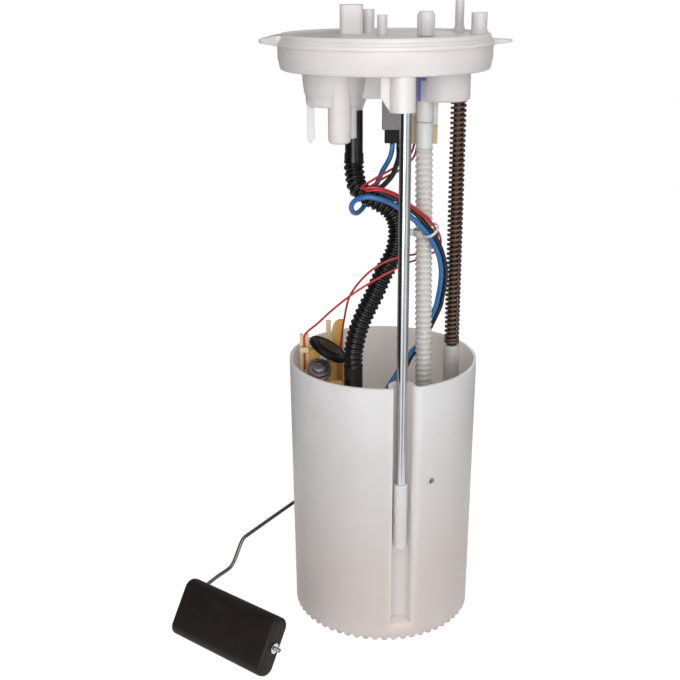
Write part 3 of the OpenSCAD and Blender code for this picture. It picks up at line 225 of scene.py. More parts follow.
def helix_frame(angle):
    """Outward and upward unit vectors along a helix that climbs slowly."""
    side = np.column_stack((np.cos(angle), np.sin(angle), np.zeros_like(angle)))
    return side, np.broadcast_to((0.0, 0.0, 1.0), side.shape)


def swept_round(path, radii, sides, frames=None):
    """A round section carried along the path: point = path + radius(s) (cos u side + sin u up). The
    side and up vectors are the path's own unless others are given."""
    side, up = frames or path_frame(path)
    u = np.linspace(0, 2 * np.pi, sides, endpoint=False)
    ring = np.cos(u)[None, :, None] * side[:, None] + np.sin(u)[None, :, None] * up[:, None]
    return path[:, None] + radii[:, None, None] * ring


def grid_piece(name, grid, body, slot, closed_ring=False, finish=None):
    """A mesh from a grid of points, rows along the piece and columns round it. The columns close on
    themselves; the rows do too, or end in a flat cap. The UV map holds the distance along the
    piece in metres and the share of a turn round it. The finish is the slot's, if none is named."""
    rows, cols = grid.shape[:2]
    spans = rows if closed_ring else rows - 1
    r, c = np.meshgrid(np.arange(spans), np.arange(cols), indexing="ij")
    r2, c2 = (r + 1) % rows, (c + 1) % cols
    quads = np.stack((r * cols + c, r * cols + c2, r2 * cols + c2, r2 * cols + c), axis=-1)
    run = distances(grid.mean(axis=1) if not closed_ring else grid[:, 0])
    run = np.append(run, run[-1] + np.linalg.norm(grid[0, 0] - grid[-1, 0]))
    uv = np.stack((run[np.stack((r, r, r + 1, r + 1), axis=-1)],
                   np.stack((c, c + 1, c + 1, c), axis=-1) / cols), axis=-1)
    loops, starts = quads.ravel(), np.arange(quads.size // 4) * 4
    uv = uv.reshape(-1, 2)
    if not closed_ring:
        first, last = np.arange(cols)[::-1], (rows - 1) * cols + np.arange(cols)
        starts = np.concatenate((starts, [loops.size, loops.size + cols]))
        loops = np.concatenate((loops, first, last))
        uv = np.concatenate((uv, np.zeros((cols, 2)), np.full((cols, 2), run[rows - 1])))
    mesh = bpy.data.meshes.new(name)
    mesh.vertices.add(rows * cols)
    mesh.vertices.foreach_set("co", grid.reshape(-1).astype(np.float32))
    mesh.loops.add(loops.size)
    mesh.loops.foreach_set("vertex_index", loops.astype(np.int32))
    mesh.polygons.add(starts.size)
    mesh.polygons.foreach_set("loop_start", starts.astype(np.int32))
    mesh.polygons.foreach_set("use_smooth", np.ones(starts.size, bool))
    mesh.uv_layers.new(name="along").data.foreach_set("uv", uv.ravel().astype(np.float32))
    mesh.update(calc_edges=True)
    if mesh.validate():
        raise RuntimeError(f"the surface of {name} is not a sound mesh")
    piece = bpy.data.objects.new(name, mesh)
    bpy.context.scene.collection.objects.link(piece)
    mesh.materials.append(finish_of(finish or slot))
    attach(piece, body)
    return piece


def shorten(piece):
    """The piece gets a mesh of its own."""
    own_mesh(piece)


# Finishes

def linear(red, green, blue):
    """A colour read from the photograph, 0 to 255, in the linear values that shaders take."""
    c = np.array((red, green, blue)) / 255
    return (*np.where(c <= 0.04045, c / 12.92, ((c + 0.055) / 1.055) ** 2.4), 1.0)


def tone(colour, factor):
    """The colour, lighter or darker by that factor."""
    return (*(min(1.0, c * factor) for c in colour[:3]), 1.0)


def add_node(tree, kind, inputs=None, **settings):
    """A node of that kind. An input that is a socket is linked, and any other is a constant."""
    made = tree.nodes.new(kind)
    for key, value in settings.items():
        setattr(made, key, value)
    for key, value in (inputs or {}).items():
        if isinstance(value, bpy.types.NodeSocket):
            tree.links.new(value, made.inputs[key])
        else:
            made.inputs[key].default_value = value
    return made


def start_finish(name, **constants):
    """An empty finish: its node tree, its Principled shader with those constants, and its points."""
    material = bpy.data.materials.new(name)
    material.use_nodes = True
    tree = material.node_tree
    shader = tree.nodes["Principled BSDF"]
    for key, value in constants.items():
        shader.inputs[key.replace("_", " ")].default_value = value
    points = tree.nodes.new("ShaderNodeTexCoord").outputs["Object"]
    return material, tree, shader, points


def noise(tree, points, scale, detail=3.0, roughness=0.55, stretch=None):
    """Values of a noise, about 0.5, with that many features in a metre, stretched along an axis."""
    if stretch is not None:
        points = add_node(tree, "ShaderNodeMapping", {"Vector": points, "Scale": stretch}).outputs[0]
    return add_node(tree, "ShaderNodeTexNoise", {
        "Vector": points, "Scale": scale, "Detail": detail, "Roughness": roughness,
    }).outputs["Fac"]


def spread(tree, value, low, high, start=0.3, end=0.7):
    """The value's range from start to end carried to the range from low to high."""
    return add_node(tree, "ShaderNodeMapRange", {
        "Value": value, "From Min": start, "From Max": end, "To Min": low, "To Max": high,
    }).outputs["Result"]


def mixed(tree, factor, first, second):
    """The first colour where the factor is nought, and the second where it is one."""
    inputs = {0: factor, 6: first, 7: second}
    return add_node(tree, "ShaderNodeMix", inputs, data_type="RGBA").outputs[2]


def two_tone(tree, value, colour, low, high):
    """The colour times low to times high, as the value of a noise goes from low to high."""
    return mixed(tree, spread(tree, value, 0, 1), tone(colour, low), tone(colour, high))


def relief(tree, shader, height, depth, edge=0.0):
    """Bumps of that depth in metres, over edges that are rounded by the given radius."""
    inputs = {"Height": height, "Distance": depth, "Strength": 1.0}
    if edge:
        inputs["Normal"] = add_node(tree, "ShaderNodeBevel", {"Radius": edge}, samples=4).outputs[0]
    bump = add_node(tree, "ShaderNodeBump", inputs)
    tree.links.new(bump.outputs[0], shader.inputs["Normal"])


def taken_over(tree, colours, value, colour, start, full):
    """The colours, with another that takes over while the value goes from start to full."""
    return mixed(tree, spread(tree, value, 0, 1, start, full), colours, (*colour, 1.0))


def moulded(name, colour, rough, depth=0.00003, edge=0.0004, glow=0.0, depth_of_light=0.004,
            mottle=0.04, shine=0.5, shade_and_glow_by_height=None, inside=None):
    """Moulded plastic: faint clouds in its colour, a fine grain, and some light passing inside. A
    colour that takes over between two heights, the second being where it is full, is a painted
    shade and glow. The inside is a painted shade that takes over between two distances from the z axis."""
    material, tree, shader, points = start_finish(name, IOR=1.5, Specular_IOR_Level=shine)
    if glow:
        shader.inputs["Subsurface Weight"].default_value = glow
        shader.inputs["Subsurface Radius"].default_value = (1.0, 0.93, 0.88)
        shader.inputs["Subsurface Scale"].default_value = depth_of_light
    clouds = noise(tree, points, 28.0, 3.0)
    colours = two_tone(tree, clouds, colour, 1 - mottle, 1 + mottle)
    # The painted shade and glow towards the foot, by height
    if shade_and_glow_by_height:
        height = add_node(tree, "ShaderNodeSeparateXYZ", {"Vector": points}).outputs["Z"]
        colours = taken_over(tree, colours, height, *shade_and_glow_by_height)
    # The painted shade of the inside and of the rod's channel, by distance from the z axis
    if inside:
        level = add_node(tree, "ShaderNodeVectorMath", {0: points, 1: (1.0, 1.0, 0.0)},
                         operation="MULTIPLY").outputs["Vector"]
        radius = add_node(tree, "ShaderNodeVectorMath", {0: level}, operation="LENGTH").outputs["Value"]
        colours = taken_over(tree, colours, radius, *inside)
    tree.links.new(colours, shader.inputs["Base Color"])
    scuffs = noise(tree, points, 140.0, 5.0, 0.7)
    tree.links.new(spread(tree, scuffs, rough * 0.82, rough * 1.2), shader.inputs["Roughness"])
    relief(tree, shader, noise(tree, points, 1400.0, 2.0), depth, edge)
    return material


def drawn_steel(name, colour, rough, stretch, edge=0.0003, depth=0.00001):
    """Bare steel with fine streaks along the way it was drawn or turned."""
    material, tree, shader, points = start_finish(name, Metallic=1.0)
    streaks = noise(tree, points, 900.0, 3.0, 0.6, stretch)
    stains = noise(tree, points, 60.0, 4.0, 0.6)
    colours = two_tone(tree, stains, colour, 0.9, 1.06)
    tree.links.new(colours, shader.inputs["Base Color"])
    tree.links.new(spread(tree, streaks, rough * 0.7, rough * 1.4), shader.inputs["Roughness"])
    relief(tree, shader, streaks, depth, edge)
    return material


def insulation(name, colour):
    """Smooth wire insulation with a soft shine and faint draw lines along the wire."""
    material, tree, shader, _ = start_finish(name, Coat_Weight=0.5, Coat_Roughness=0.15,
                                             Specular_IOR_Level=0.4)
    along = add_node(tree, "ShaderNodeUVMap", uv_map="along").outputs[0]
    lines = noise(tree, along, 12.0, 2.0, 0.5, (10.0, 1.0, 1.0))
    colours = two_tone(tree, lines, colour, 0.92, 1.08)
    tree.links.new(colours, shader.inputs["Base Color"])
    tree.links.new(spread(tree, lines, 0.3, 0.42), shader.inputs["Roughness"])
    relief(tree, shader, lines, 0.00001)
    return material


def spring_finish(name, colour):
    """Oiled brown spring wire: darker patches along it and thin scratches."""
    material, tree, shader, points = start_finish(name, Metallic=0.55)
    patches = noise(tree, points, 220.0, 4.0, 0.65)
    colours = two_tone(tree, patches, colour, 0.72, 1.18)
    tree.links.new(colours, shader.inputs["Base Color"])
    tree.links.new(spread(tree, patches, 0.38, 0.56), shader.inputs["Roughness"])
    relief(tree, shader, noise(tree, points, 2600.0, 3.0), 0.00002)
    return material


def float_foam(name, colour):
    """Hard foam rubber: a matt skin full of tiny open cells, with slightly uneven patches."""
    material, tree, shader, points = start_finish(name, Specular_IOR_Level=0.35)
    cells = add_node(tree, "ShaderNodeTexVoronoi", {"Vector": points, "Scale": 1500.0})
    clouds = noise(tree, points, 90.0, 5.0, 0.65)
    colours = two_tone(tree, clouds, colour, 0.8, 1.25)
    tree.links.new(colours, shader.inputs["Base Color"])
    tree.links.new(spread(tree, clouds, 0.55, 0.72), shader.inputs["Roughness"])
    relief(tree, shader, cells.outputs["Distance"], 0.00006)
    return material


# Heights between which the painted shade and glow at the pot's foot takes over, and radii
# between which the painted shade of its inside does
POT_SHADE_AND_GLOW_HEIGHTS = (0.165, 0.05)
POT_INSIDE_SHADE_RADII = (0.0609, 0.0604)


def pot_finish(name, colour):
    """The pot's plastic, with a painted shade and glow, warmer and darker, that takes over towards
    the foot for the light falling off there and the parts inside shining through, and a painted
    shade on the inside and in the rod's channel, warmer than the pot's white and paler than the foot's."""
    finishes = bpy.context.scene.pump_finishes
    return moulded(name, colour, 0.42, glow=0.85, depth_of_light=0.01, edge=0.0006,
                   shade_and_glow_by_height=(tuple(finishes.pot_foot), *POT_SHADE_AND_GLOW_HEIGHTS),
                   inside=(tuple(finishes.pot_inside), *POT_INSIDE_SHADE_RADII))


# Along z, the streaks of a drawn bar; across it, the marks of turning; and no direction
ALONG, ACROSS, NO_WAY = (1.0, 1.0, 0.02), (0.05, 0.05, 1.0), (1.0, 1.0, 1.0)
MAKERS = {
    "pot_white": pot_finish,
    "cover_white": partial(moulded, rough=0.36, glow=0.85, depth_of_light=0.006, edge=0.0008),
    "sleeve_white": partial(moulded, rough=0.3, glow=0.7, depth_of_light=0.006),
    "tube_white": partial(moulded, rough=0.35, glow=1.0, depth_of_light=0.008, edge=0.0,
                          depth=0.00005),
    "tie_white": partial(moulded, rough=0.3, glow=0.2, depth_of_light=0.001, edge=0.0),
    "steel_rod": partial(drawn_steel, rough=0.17, stretch=ALONG),
    # Painted shade: the rear rod's steel is made dark so that the gaps between the spring's turns show
    # dark
    "dark_steel": partial(drawn_steel, rough=0.42, stretch=ALONG),
    "can_steel": partial(drawn_steel, rough=0.42, stretch=ACROSS),
    "brass": partial(drawn_steel, rough=0.28, stretch=(1.0, 1.0, 0.1)),
    "arm_steel": partial(drawn_steel, rough=0.34, stretch=NO_WAY),
    "spring_brown": spring_finish,
    "black_plastic": partial(moulded, rough=0.36, mottle=0.15, shine=0.15),
    "black_rubber": partial(moulded, rough=0.22, depth=0.00004, edge=0.0002, mottle=0.2),
    "grey_plastic": partial(moulded, rough=0.45),
    "amber_plastic": partial(moulded, rough=0.32, glow=0.4, mottle=0.08),
    "cream_plastic": partial(moulded, rough=0.4, glow=0.3),
    "beige_plastic": partial(moulded, rough=0.42, glow=0.15),
    "blue_plastic": partial(moulded, rough=0.3),
    "blue_wire": insulation,
    "black_wire": insulation,
    "red_wire": insulation,
    "float_dark": float_foam,
}
FINISHES = {}


def finish_of(slot):
    """The finish of a material slot, made the first time it is asked for."""
    if slot not in FINISHES:
        colour = (*getattr(bpy.context.scene.pump_finishes, slot), 1.0)
        FINISHES[slot] = MAKERS[slot](slot, colour)
    return FINISHES[slot]


def colour_of(red, green, blue, text):
    """A colour setting, its default read from the photograph."""
    return bpy.props.FloatVectorProperty(
        name=text, description=f"Colour of {text.lower()}", subtype="COLOR", size=3,
        min=0.0, max=1.0, default=linear(red, green, blue)[:3])


class PumpFinishes(bpy.types.PropertyGroup):
    """The colours of the finishes, by material slot"""
    pot_white: colour_of(236, 231, 230, "The reservoir pot")
    # Painted shade and glow: the warmer, darker colour that takes over towards the pot's foot
    pot_foot: colour_of(228, 209, 203, "The foot of the pot")
    # Painted shade: the warmer colour of the inside of the pot and of the rod's channel
    pot_inside: colour_of(237, 226, 221, "The inside of the pot")
    cover_white: colour_of(229, 223, 223, "The cover")
    sleeve_white: colour_of(243, 240, 237, "The rod sleeve and white cuffs")
    tube_white: colour_of(212, 209, 204, "The return tube")
    tie_white: colour_of(214, 220, 212, "The wire tie")
    steel_rod: colour_of(205, 209, 212, "The guide rods")
    # Painted shade: the rear rod is darkened for the shaded gaps between the spring's turns
    dark_steel: colour_of(70, 64, 60, "The rear guide rod")
    spring_brown: colour_of(118, 92, 80, "The spring")
    can_steel: colour_of(150, 144, 146, "The pump can and regulator")
    black_plastic: colour_of(20, 20, 22, "The black plugs")
    black_rubber: colour_of(18, 15, 15, "The black hose")
    grey_plastic: colour_of(125, 122, 124, "The grey connector")
    amber_plastic: colour_of(224, 176, 96, "The pump holder")
    cream_plastic: colour_of(226, 203, 152, "The cream clip")
    beige_plastic: colour_of(200, 180, 140, "The sender plug")
    blue_plastic: colour_of(40, 62, 190, "The blue clip")
    blue_wire: colour_of(45, 112, 178, "The blue wire")
    black_wire: colour_of(16, 18, 22, "The black wire")
    red_wire: colour_of(192, 44, 50, "The red wires")
    brass: colour_of(200, 172, 110, "The pins and wiper")
    arm_steel: colour_of(132, 126, 122, "The float arm")
    float_dark: colour_of(25, 16, 14, "The float")


def length_of(default, name, text):
    """A length setting in metres."""
    return bpy.props.FloatProperty(name=name, description=text, default=default, min=0.0,
                                   unit="LENGTH", subtype="DISTANCE", precision=5)


class PumpSizes(bpy.types.PropertyGroup):
    """The sizes of the pieces that the script draws"""
    hose_radius: length_of(0.0065, "Hose radius", "Radius of the black hose over its ridges")
    hose_pitch: length_of(0.0036, "Hose pitch", "Distance from ridge to ridge of the black hose")
    hose_groove: length_of(0.0012, "Hose groove", "Depth of the grooves of the black hose")
    tube_radius: length_of(0.0057, "Tube radius", "Radius of the white tube over its ridges")
    tube_pitch: length_of(0.0037, "Tube pitch", "Distance from ridge to ridge of the white tube")
    tube_groove: length_of(0.001, "Tube groove", "Depth of the grooves of the white tube")
    supply_radius: length_of(0.0016, "Supply wire radius", "Radius of the blue and black wires")
    sender_radius: length_of(0.0007, "Sender wire radius", "Radius of the red wires")
    arm_radius: length_of(0.0013, "Arm radius", "Radius of the float arm's wire")
    float_length: length_of(0.079, "Float length", "Length of the float along the arm")
    float_width: length_of(0.038, "Float width", "Width of the float")
    float_thickness: length_of(0.015, "Float thickness", "Thickness of the float")
    float_corner: length_of(0.0066, "Float corner", "Radius of the float's long edges")
    float_end: length_of(0.0025, "Float end", "Radius of the float's edges at its ends")
    float_tilt: bpy.props.FloatProperty(
        name="Float tilt", description="Turn of the float about the arm at rest",
        default=radians(57), unit="ROTATION", subtype="ANGLE")
    tie_width: length_of(0.0044, "Tie width", "Width of the tie's strap")
    tie_thickness: length_of(0.001, "Tie thickness", "Thickness of the tie's strap")
    tie_loop: length_of(0.0055, "Tie loop", "Radius of the tie's loop round the wires")
    spring_wire: length_of(0.0018, "Spring wire", "Diameter of the spring's wire")
    spring_turns: bpy.props.IntProperty(
        name="Spring turns", description="Number of turns of the spring", default=53, min=3)


# Pieces

def ridges(run, pitch, depth, sharp):
    """Depth of the groove at each distance: depth times a raised cosine to a power, so that a power
    below one gives narrow crests and above one narrow grooves."""
    return depth * (0.5 - 0.5 * np.cos(2 * np.pi * run / pitch)) ** sharp


class PUMP_OT_feed_hose(bpy.types.Operator):
    """The black hose: a ridged tube along its route from the cover to the pump"""
    bl_idname = "pump.feed_hose"
    bl_label = "Feed hose"

    def execute(self, context):
        sizes = context.scene.pump_sizes
        route = smooth_route(HOSE_ROUTE, 24)
        length = distances(route)[-1]
        count = round(length / sizes.hose_pitch)
        path = even_route(route, count * RIDGE_STEPS)
        radii = sizes.hose_radius - ridges(distances(path), length / count, sizes.hose_groove, 1.3)
        grid = swept_round(path, radii, HOSE_SIDES)
        piece = grid_piece("feed_hose_skin", grid, "pot", "black_rubber")
        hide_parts("feed_hose")
        shorten(piece)
        return {"FINISHED"}


class PUMP_OT_return_tube(bpy.types.Operator):
    """The white tube: straight, with sharp rounded ridges"""
    bl_idname = "pump.return_tube"
    bl_label = "Return tube"

    def execute(self, context):
        sizes = context.scene.pump_sizes
        length = np.linalg.norm(TUBE_TOP - TUBE_FOOT)
        count = int(length / sizes.tube_pitch)
        path = even_route(np.array((TUBE_FOOT, TUBE_TOP)), count * RIDGE_STEPS)
        radii = sizes.tube_radius - ridges(distances(path), length / count, sizes.tube_groove, 0.8)
        grid = swept_round(path, radii, TUBE_SIDES)
        piece = grid_piece("return_tube_skin", grid, "pot", "tube_white")
        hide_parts("return_tube")
        shorten(piece)
        return {"FINISHED"}


class PUMP_OT_rods(bpy.types.Operator):
    """The two guide rods: polished round bars with chamfered ends"""
    bl_idname = "pump.rods"
    bl_label = "Guide rods"

    def execute(self, context):
        # The rear rod takes the dark steel, a painted shade for the gaps between the spring's turns
        for name, slot in (("guide_rod_front", "steel_rod"), ("guide_rod_rear", "dark_steel")):
            low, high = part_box(name)
            centre, radius = (low + high) / 2, (high.x - low.x) / 2
            heights = np.concatenate((np.linspace(low.z, low.z + ROD_CHAMFER, 4),
                                      np.linspace(low.z + ROD_END, high.z - ROD_END, 60),
                                      np.linspace(high.z - ROD_CHAMFER, high.z, 4)))
            edge = np.minimum(heights - low.z, high.z - heights)
            radii = radius - np.maximum(0, ROD_CHAMFER - edge)
            path = np.column_stack((np.full_like(heights, centre.x),
                                    np.full_like(heights, centre.y), heights))
            piece = grid_piece(name + "_bar", swept_round(path, radii, ROD_SIDES), "cover", slot)
            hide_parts(name)
        return {"FINISHED"}


class PUMP_OT_spring(bpy.types.Operator):
    """The spring: a helix on the rear rod whose end turns lie close together"""
    bl_idname = "pump.spring"
    bl_label = "Spring"

    def execute(self, context):
        sizes = context.scene.pump_sizes
        low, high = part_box("spring")
        centre = (low + high) / 2
        wire, turns = sizes.spring_wire, sizes.spring_turns
        mean = (high.x - low.x) / 2 - wire / 2
        climb = high.z - low.z - wire
        turn = np.linspace(0, turns, turns * TURN_STEPS + 1)
        height = np.interp(turn, (0, SPRING_FOOT_TURNS, turns - SPRING_HEAD_TURNS, turns),
                           (0, SPRING_FOOT_CLIMB * wire, climb - SPRING_HEAD_CLIMB * wire, climb))
        angle = 2 * np.pi * turn
        path = np.column_stack((centre.x + mean * np.cos(angle), centre.y + mean * np.sin(angle),
                                low.z + wire / 2 + height))
        grid = swept_round(path, np.full(len(path), wire / 2), SPRING_SIDES, helix_frame(angle))
        piece = grid_piece("spring_coil", grid, "pot", "spring_brown")
        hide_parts("spring")
        shorten(piece)
        return {"FINISHED"}


class PUMP_OT_wires(bpy.types.Operator):
    """The four wires from the cover's plugs to the pump and the sender"""
    bl_idname = "pump.wires"
    bl_label = "Wires"

    def execute(self, context):
        sizes = context.scene.pump_sizes
        for name, route, radius, slot in (
            ("blue_wire", BLUE_ROUTE, sizes.supply_radius, "blue_wire"),
            ("black_wire", BLACK_ROUTE, sizes.supply_radius, "black_wire"),
            ("red_wire_a", RED_A_ROUTE, sizes.sender_radius, "red_wire"),
            ("red_wire_b", RED_B_ROUTE, sizes.sender_radius, "red_wire"),
        ):
            path = even_route(smooth_route(route, 16), WIRE_STEPS)
            grid = swept_round(path, np.full(len(path), radius), WIRE_SIDES)
            piece = grid_piece(name + "_skin", grid, "pot", slot)
            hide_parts(name)
            shorten(piece)
        return {"FINISHED"}


def band(centre, radius, width, thickness, turn=(0.0, 0.0), steps=96):
    """A flat strap round a circle: its section is a rectangle with round corners, whose thickness
    lies along the radius and width along the circle's axis, which two turns tilt."""
    section = rounded_section(thickness, width, thickness * 0.45, STRAP_SIDES)
    a = np.linspace(0, 2 * np.pi, steps, endpoint=False)[:, None]
    out = radius + section[None, :, 0]
    ring = np.stack((out * np.cos(a), out * np.sin(a),
                     np.broadcast_to(-section[None, :, 1], (steps, STRAP_SIDES))), axis=-1)
    tilt = Matrix.Rotation(turn[1], 3, "Y") @ Matrix.Rotation(turn[0], 3, "X")
    return centre + ring @ np.array(tilt).T


class PUMP_OT_tie(bpy.types.Operator):
    """The tie: a strap round the white tube, its head, and the loop that holds the wires"""
    bl_idname = "pump.tie"
    bl_label = "Wire tie"

    def execute(self, context):
        sizes = context.scene.pump_sizes
        share = (TIE_HEIGHT - TUBE_FOOT[2]) / (TUBE_TOP[2] - TUBE_FOOT[2])
        centre = TUBE_FOOT + (TUBE_TOP - TUBE_FOOT) * share
        width, thickness = sizes.tie_width, sizes.tie_thickness
        around = sizes.tube_radius + TIE_GAP + thickness / 2
        section = (rounded_section(width * 0.6, width, 0.0004, STRAP_SIDES)
                   * TIE_HEAD_SIZE[:, None, None])
        head = centre + np.stack((np.broadcast_to(-around - TIE_HEAD_AT[:, None], section.shape[:2]),
                                  -section[..., 0], section[..., 1]), axis=-1)
        strap = grid_piece("wire_tie_strap", band(centre, around, width, thickness),
                           "pot", "sleeve_white", closed_ring=True, finish="tie_white")
        loop = grid_piece("wire_tie_loop",
                          band(TIE_LOOP, sizes.tie_loop, width * 0.45, thickness, TIE_TURN),
                          "pot", "sleeve_white", closed_ring=True, finish="tie_white")
        head = grid_piece("wire_tie_head", head, "pot", "sleeve_white", finish="tie_white")
        for piece in (strap, loop, head):
            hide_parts("wire_tie")
            shorten(piece)
        return {"FINISHED"}


def in_sender_frame(points):
    """Points of the sender's frame, turned about the pot's axis to the sender's place."""
    turn = np.array(Matrix.Rotation(SENDER_ANGLE, 3, "Z"))
    return points @ turn.T


class PUMP_OT_arm(bpy.types.Operator):
    """The float arm: one bent steel wire from the sender's bore through the float"""
    bl_idname = "pump.arm"
    bl_label = "Float arm"

    def execute(self, context):
        sizes = context.scene.pump_sizes
        path = in_sender_frame(rounded_route(ARM_ROUTE, ARM_BEND))
        apart = np.linalg.norm(np.diff(path, axis=0), axis=1) > 1e-6
        path = path[np.concatenate(([True], apart))]
        grid = swept_round(path, np.full(len(path), sizes.arm_radius), ARM_SIDES)
        piece = grid_piece("arm_wire_skin", grid, "arm", "arm_steel")
        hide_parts("arm_wire")
        return {"FINISHED"}


def rounded_section(width, thickness, corner, sides):
    """A rectangle with round corners as points round it: a circle of the corner's radius whose
    centre moves out by the straight part of each side, by the sign of its sine and cosine."""
    u = np.linspace(0, 2 * np.pi, sides, endpoint=False) + np.pi / sides
    flat = np.array((width / 2 - corner, thickness / 2 - corner))
    spot = np.column_stack((np.cos(u), np.sin(u)))
    return np.sign(spot) * flat + corner * spot


class PUMP_OT_float(bpy.types.Operator):
    """The float: a rounded block of foam with the arm's bore along it"""
    bl_idname = "pump.float"
    bl_label = "Float"

    def execute(self, context):
        sizes = context.scene.pump_sizes
        length, width, thickness = sizes.float_length, sizes.float_width, sizes.float_thickness
        corner, end, tilt = sizes.float_corner, sizes.float_end, sizes.float_tilt
        u = np.linspace(0, 2 * np.pi, FLOAT_SIDES, endpoint=False) + np.pi / FLOAT_SIDES
        hole = (sizes.arm_radius + FLOAT_BORE_GAP) * np.column_stack((np.cos(u), np.sin(u)))
        # The rounding at an end: a quarter circle from the flat face to the long sides
        quarter = np.linspace(0, np.pi / 2, 7)
        inset, depth = end * (1 - np.sin(quarter)), end * (1 - np.cos(quarter))
        outline = np.stack([rounded_section(width - 2 * i, thickness - 2 * i,
                                            max(corner - i, 0.0008), FLOAT_SIDES) for i in inset])
        # The flat face, from the bore outwards
        share = np.array((0.0, 0.08, 0.35, 0.7))[:, None, None]
        face = hole + share * (outline[0] - hole)
        # One face, its rounding, the long sides, the other end, and back through the bore
        middle, inner = np.linspace(0.06, 0.94, 12), np.linspace(1, 0, 8)[1:-1]
        flats = np.concatenate((face, outline, np.repeat(outline[-1:], 12, axis=0), outline[::-1],
                                face[::-1], np.repeat(hole[None], len(inner), axis=0)))
        at = np.concatenate((np.zeros(len(face)), depth, middle * length, length - depth[::-1],
                             np.full(len(face), length), inner * length))
        c, s = np.cos(-tilt), np.sin(-tilt)
        y, z = flats[..., 0] * c - flats[..., 1] * s, flats[..., 0] * s + flats[..., 1] * c
        grid = FLOAT_START + np.stack((np.broadcast_to(at[:, None], y.shape), y, z), axis=-1)
        piece = grid_piece("float_block", in_sender_frame(grid), "float", "float_dark",
                           closed_ring=True)
        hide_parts("float")
        return {"FINISHED"}


WELD_DISTANCE, CRISP_ANGLE = 1e-6, radians(28)


class PUMP_OT_finishes(bpy.types.Operator):
    """The finish of every CAD part, smooth over its round faces and crisp at its edges"""
    bl_idname = "pump.finishes"
    bl_label = "Finishes"

    def execute(self, context):
        for part in frame["record"]["subparts"]:
            piece = frame["nodes"][part["node"]]
            mesh = piece.data
            mesh.materials.clear()
            mesh.materials.append(finish_of(part["material_slot"]))
            mesh.polygons.foreach_set("use_smooth", np.ones(len(mesh.polygons), bool))
            weld = piece.modifiers.new("join_triangles", "WELD")
            weld.merge_threshold = WELD_DISTANCE
            split = piece.modifiers.new("crisp_edges", "EDGE_SPLIT")
            split.split_angle = CRISP_ANGLE
        return {"FINISHED"}


# Stage

def power_of(default, side):
    """A lamp's power setting."""
    return bpy.props.FloatProperty(name=f"{side} light", unit="POWER", default=default,
                                   description=f"Power of the {side.lower()} light")


class PumpStage(bpy.types.PropertyGroup):
    """The strengths of the lamps and the sky"""
    key_power: power_of(4.8, "Key")
    fill_power: power_of(3.4, "Fill")
    top_power: power_of(1.5, "Top")
    back_power: power_of(2.4, "Back")
    sky: bpy.props.FloatProperty(name="Sky", description="Strength of the plain sky's light",
                                 default=0.34, min=0.0)


CAMERA_PLACE = (-0.0286, -0.6631, 0.4237)
CAMERA_PITCH, CAMERA_ROLL = 19.186, -0.381
CAMERA_LENS = 55.59
# The floor shows this much of an even white of this strength, and its own shaded surface otherwise
FLOOR_SHARE, FLOOR_WHITE, FLOOR_RADIUS = 0.7, 1.33, 1.3
FLOOR_GREY = (0.6, 0.6, 0.6, 1)
# Cards in the reflections: first and last angle in degrees, and how bright each is
CARDS = (("dark_card", -92, -34, 0.02), ("left_card", -34, -28, 0.3), ("slim_card", 1, 12, 0.25),
         ("right_card", 12, 26, 0.5), ("grey_card", 50, 72, 0.38), ("side_card", 72, 105, 0.26),
         ("back_card", 105, 268, 0.2))
CARD_RADIUS, CARD_HEIGHT = 0.3, 0.9
# Lamps: where each stands and how wide it is. All of them aim at the middle of the module.
LAMPS = (("key", (0.24, -1.05, 0.46), 0.6), ("fill", (-0.3, -1.1, 0.25), 0.6),
         ("top", (0.05, -0.6, 1.0), 0.5), ("back", (0.35, 1.05, 0.5), 0.6))
AIM = Vector((0.0, 0.0, 0.26))
WHITE = (1, 1, 1, 1)


def soft_light(name, place, size, power):
    """A square lamp at that place, turned towards the middle of the module."""
    data = bpy.data.lights.new(name, "AREA")
    data.size, data.energy = size, power
    lamp = bpy.data.objects.new(name, data)
    bpy.context.scene.collection.objects.link(lamp)
    way = (AIM - Vector(place)).to_track_quat("-Z", "Y").to_matrix().to_4x4()
    lamp.matrix_world = Matrix.Translation(place) @ way


def seen_rays(tree):
    """One where the camera, a mirror or clear plastic sees a surface, and nought elsewhere."""
    path = tree.nodes.new("ShaderNodeLightPath").outputs
    shown = add_node(tree, "ShaderNodeMath", {0: path["Is Camera Ray"], 1: path["Is Glossy Ray"]},
                     operation="MAXIMUM").outputs[0]
    return add_node(tree, "ShaderNodeMath", {0: shown, 1: path["Is Transmission Ray"]},
                    operation="MAXIMUM").outputs[0]


def stage_mesh(name, points, material):
    """A sheet through a grid of points with one material, kept out of the object."""
    rows, cols = points.shape[:2]
    r, c = np.meshgrid(np.arange(rows - 1), np.arange(cols - 1), indexing="ij")
    first = (r * cols + c).ravel()
    faces = np.column_stack((first, first + 1, first + cols + 1, first + cols))
    mesh = bpy.data.meshes.new(name)
    mesh.from_pydata(points.reshape(-1, 3).tolist(), [], faces.tolist())
    mesh.materials.append(material)
    sheet = bpy.data.objects.new(name, mesh)
    bpy.context.scene.collection.objects.link(sheet)
    return sheet


def card(name, first, last, grey):
    """A curved card round the module that only reflections show. Its angles are counted from the
    side that the photograph views, and grow to the right."""
    material = bpy.data.materials.new(name)
    material.use_nodes = True
    tree = material.node_tree
    glow = add_node(tree, "ShaderNodeEmission", {"Strength": 1.0, "Color": (grey, grey, grey, 1)})
    tree.links.new(glow.outputs[0], tree.nodes["Material Output"].inputs["Surface"])
    a = np.radians(np.linspace(first, last, 12))[:, None]
    height = np.array((0.0, CARD_HEIGHT))[None]
    sheet = stage_mesh(name, np.stack(np.broadcast_arrays(
        CARD_RADIUS * np.sin(a), -CARD_RADIUS * np.cos(a), height), axis=-1), material)
    sheet.visible_camera = sheet.visible_diffuse = sheet.visible_shadow = False
    sheet.visible_transmission = sheet.visible_volume_scatter = False


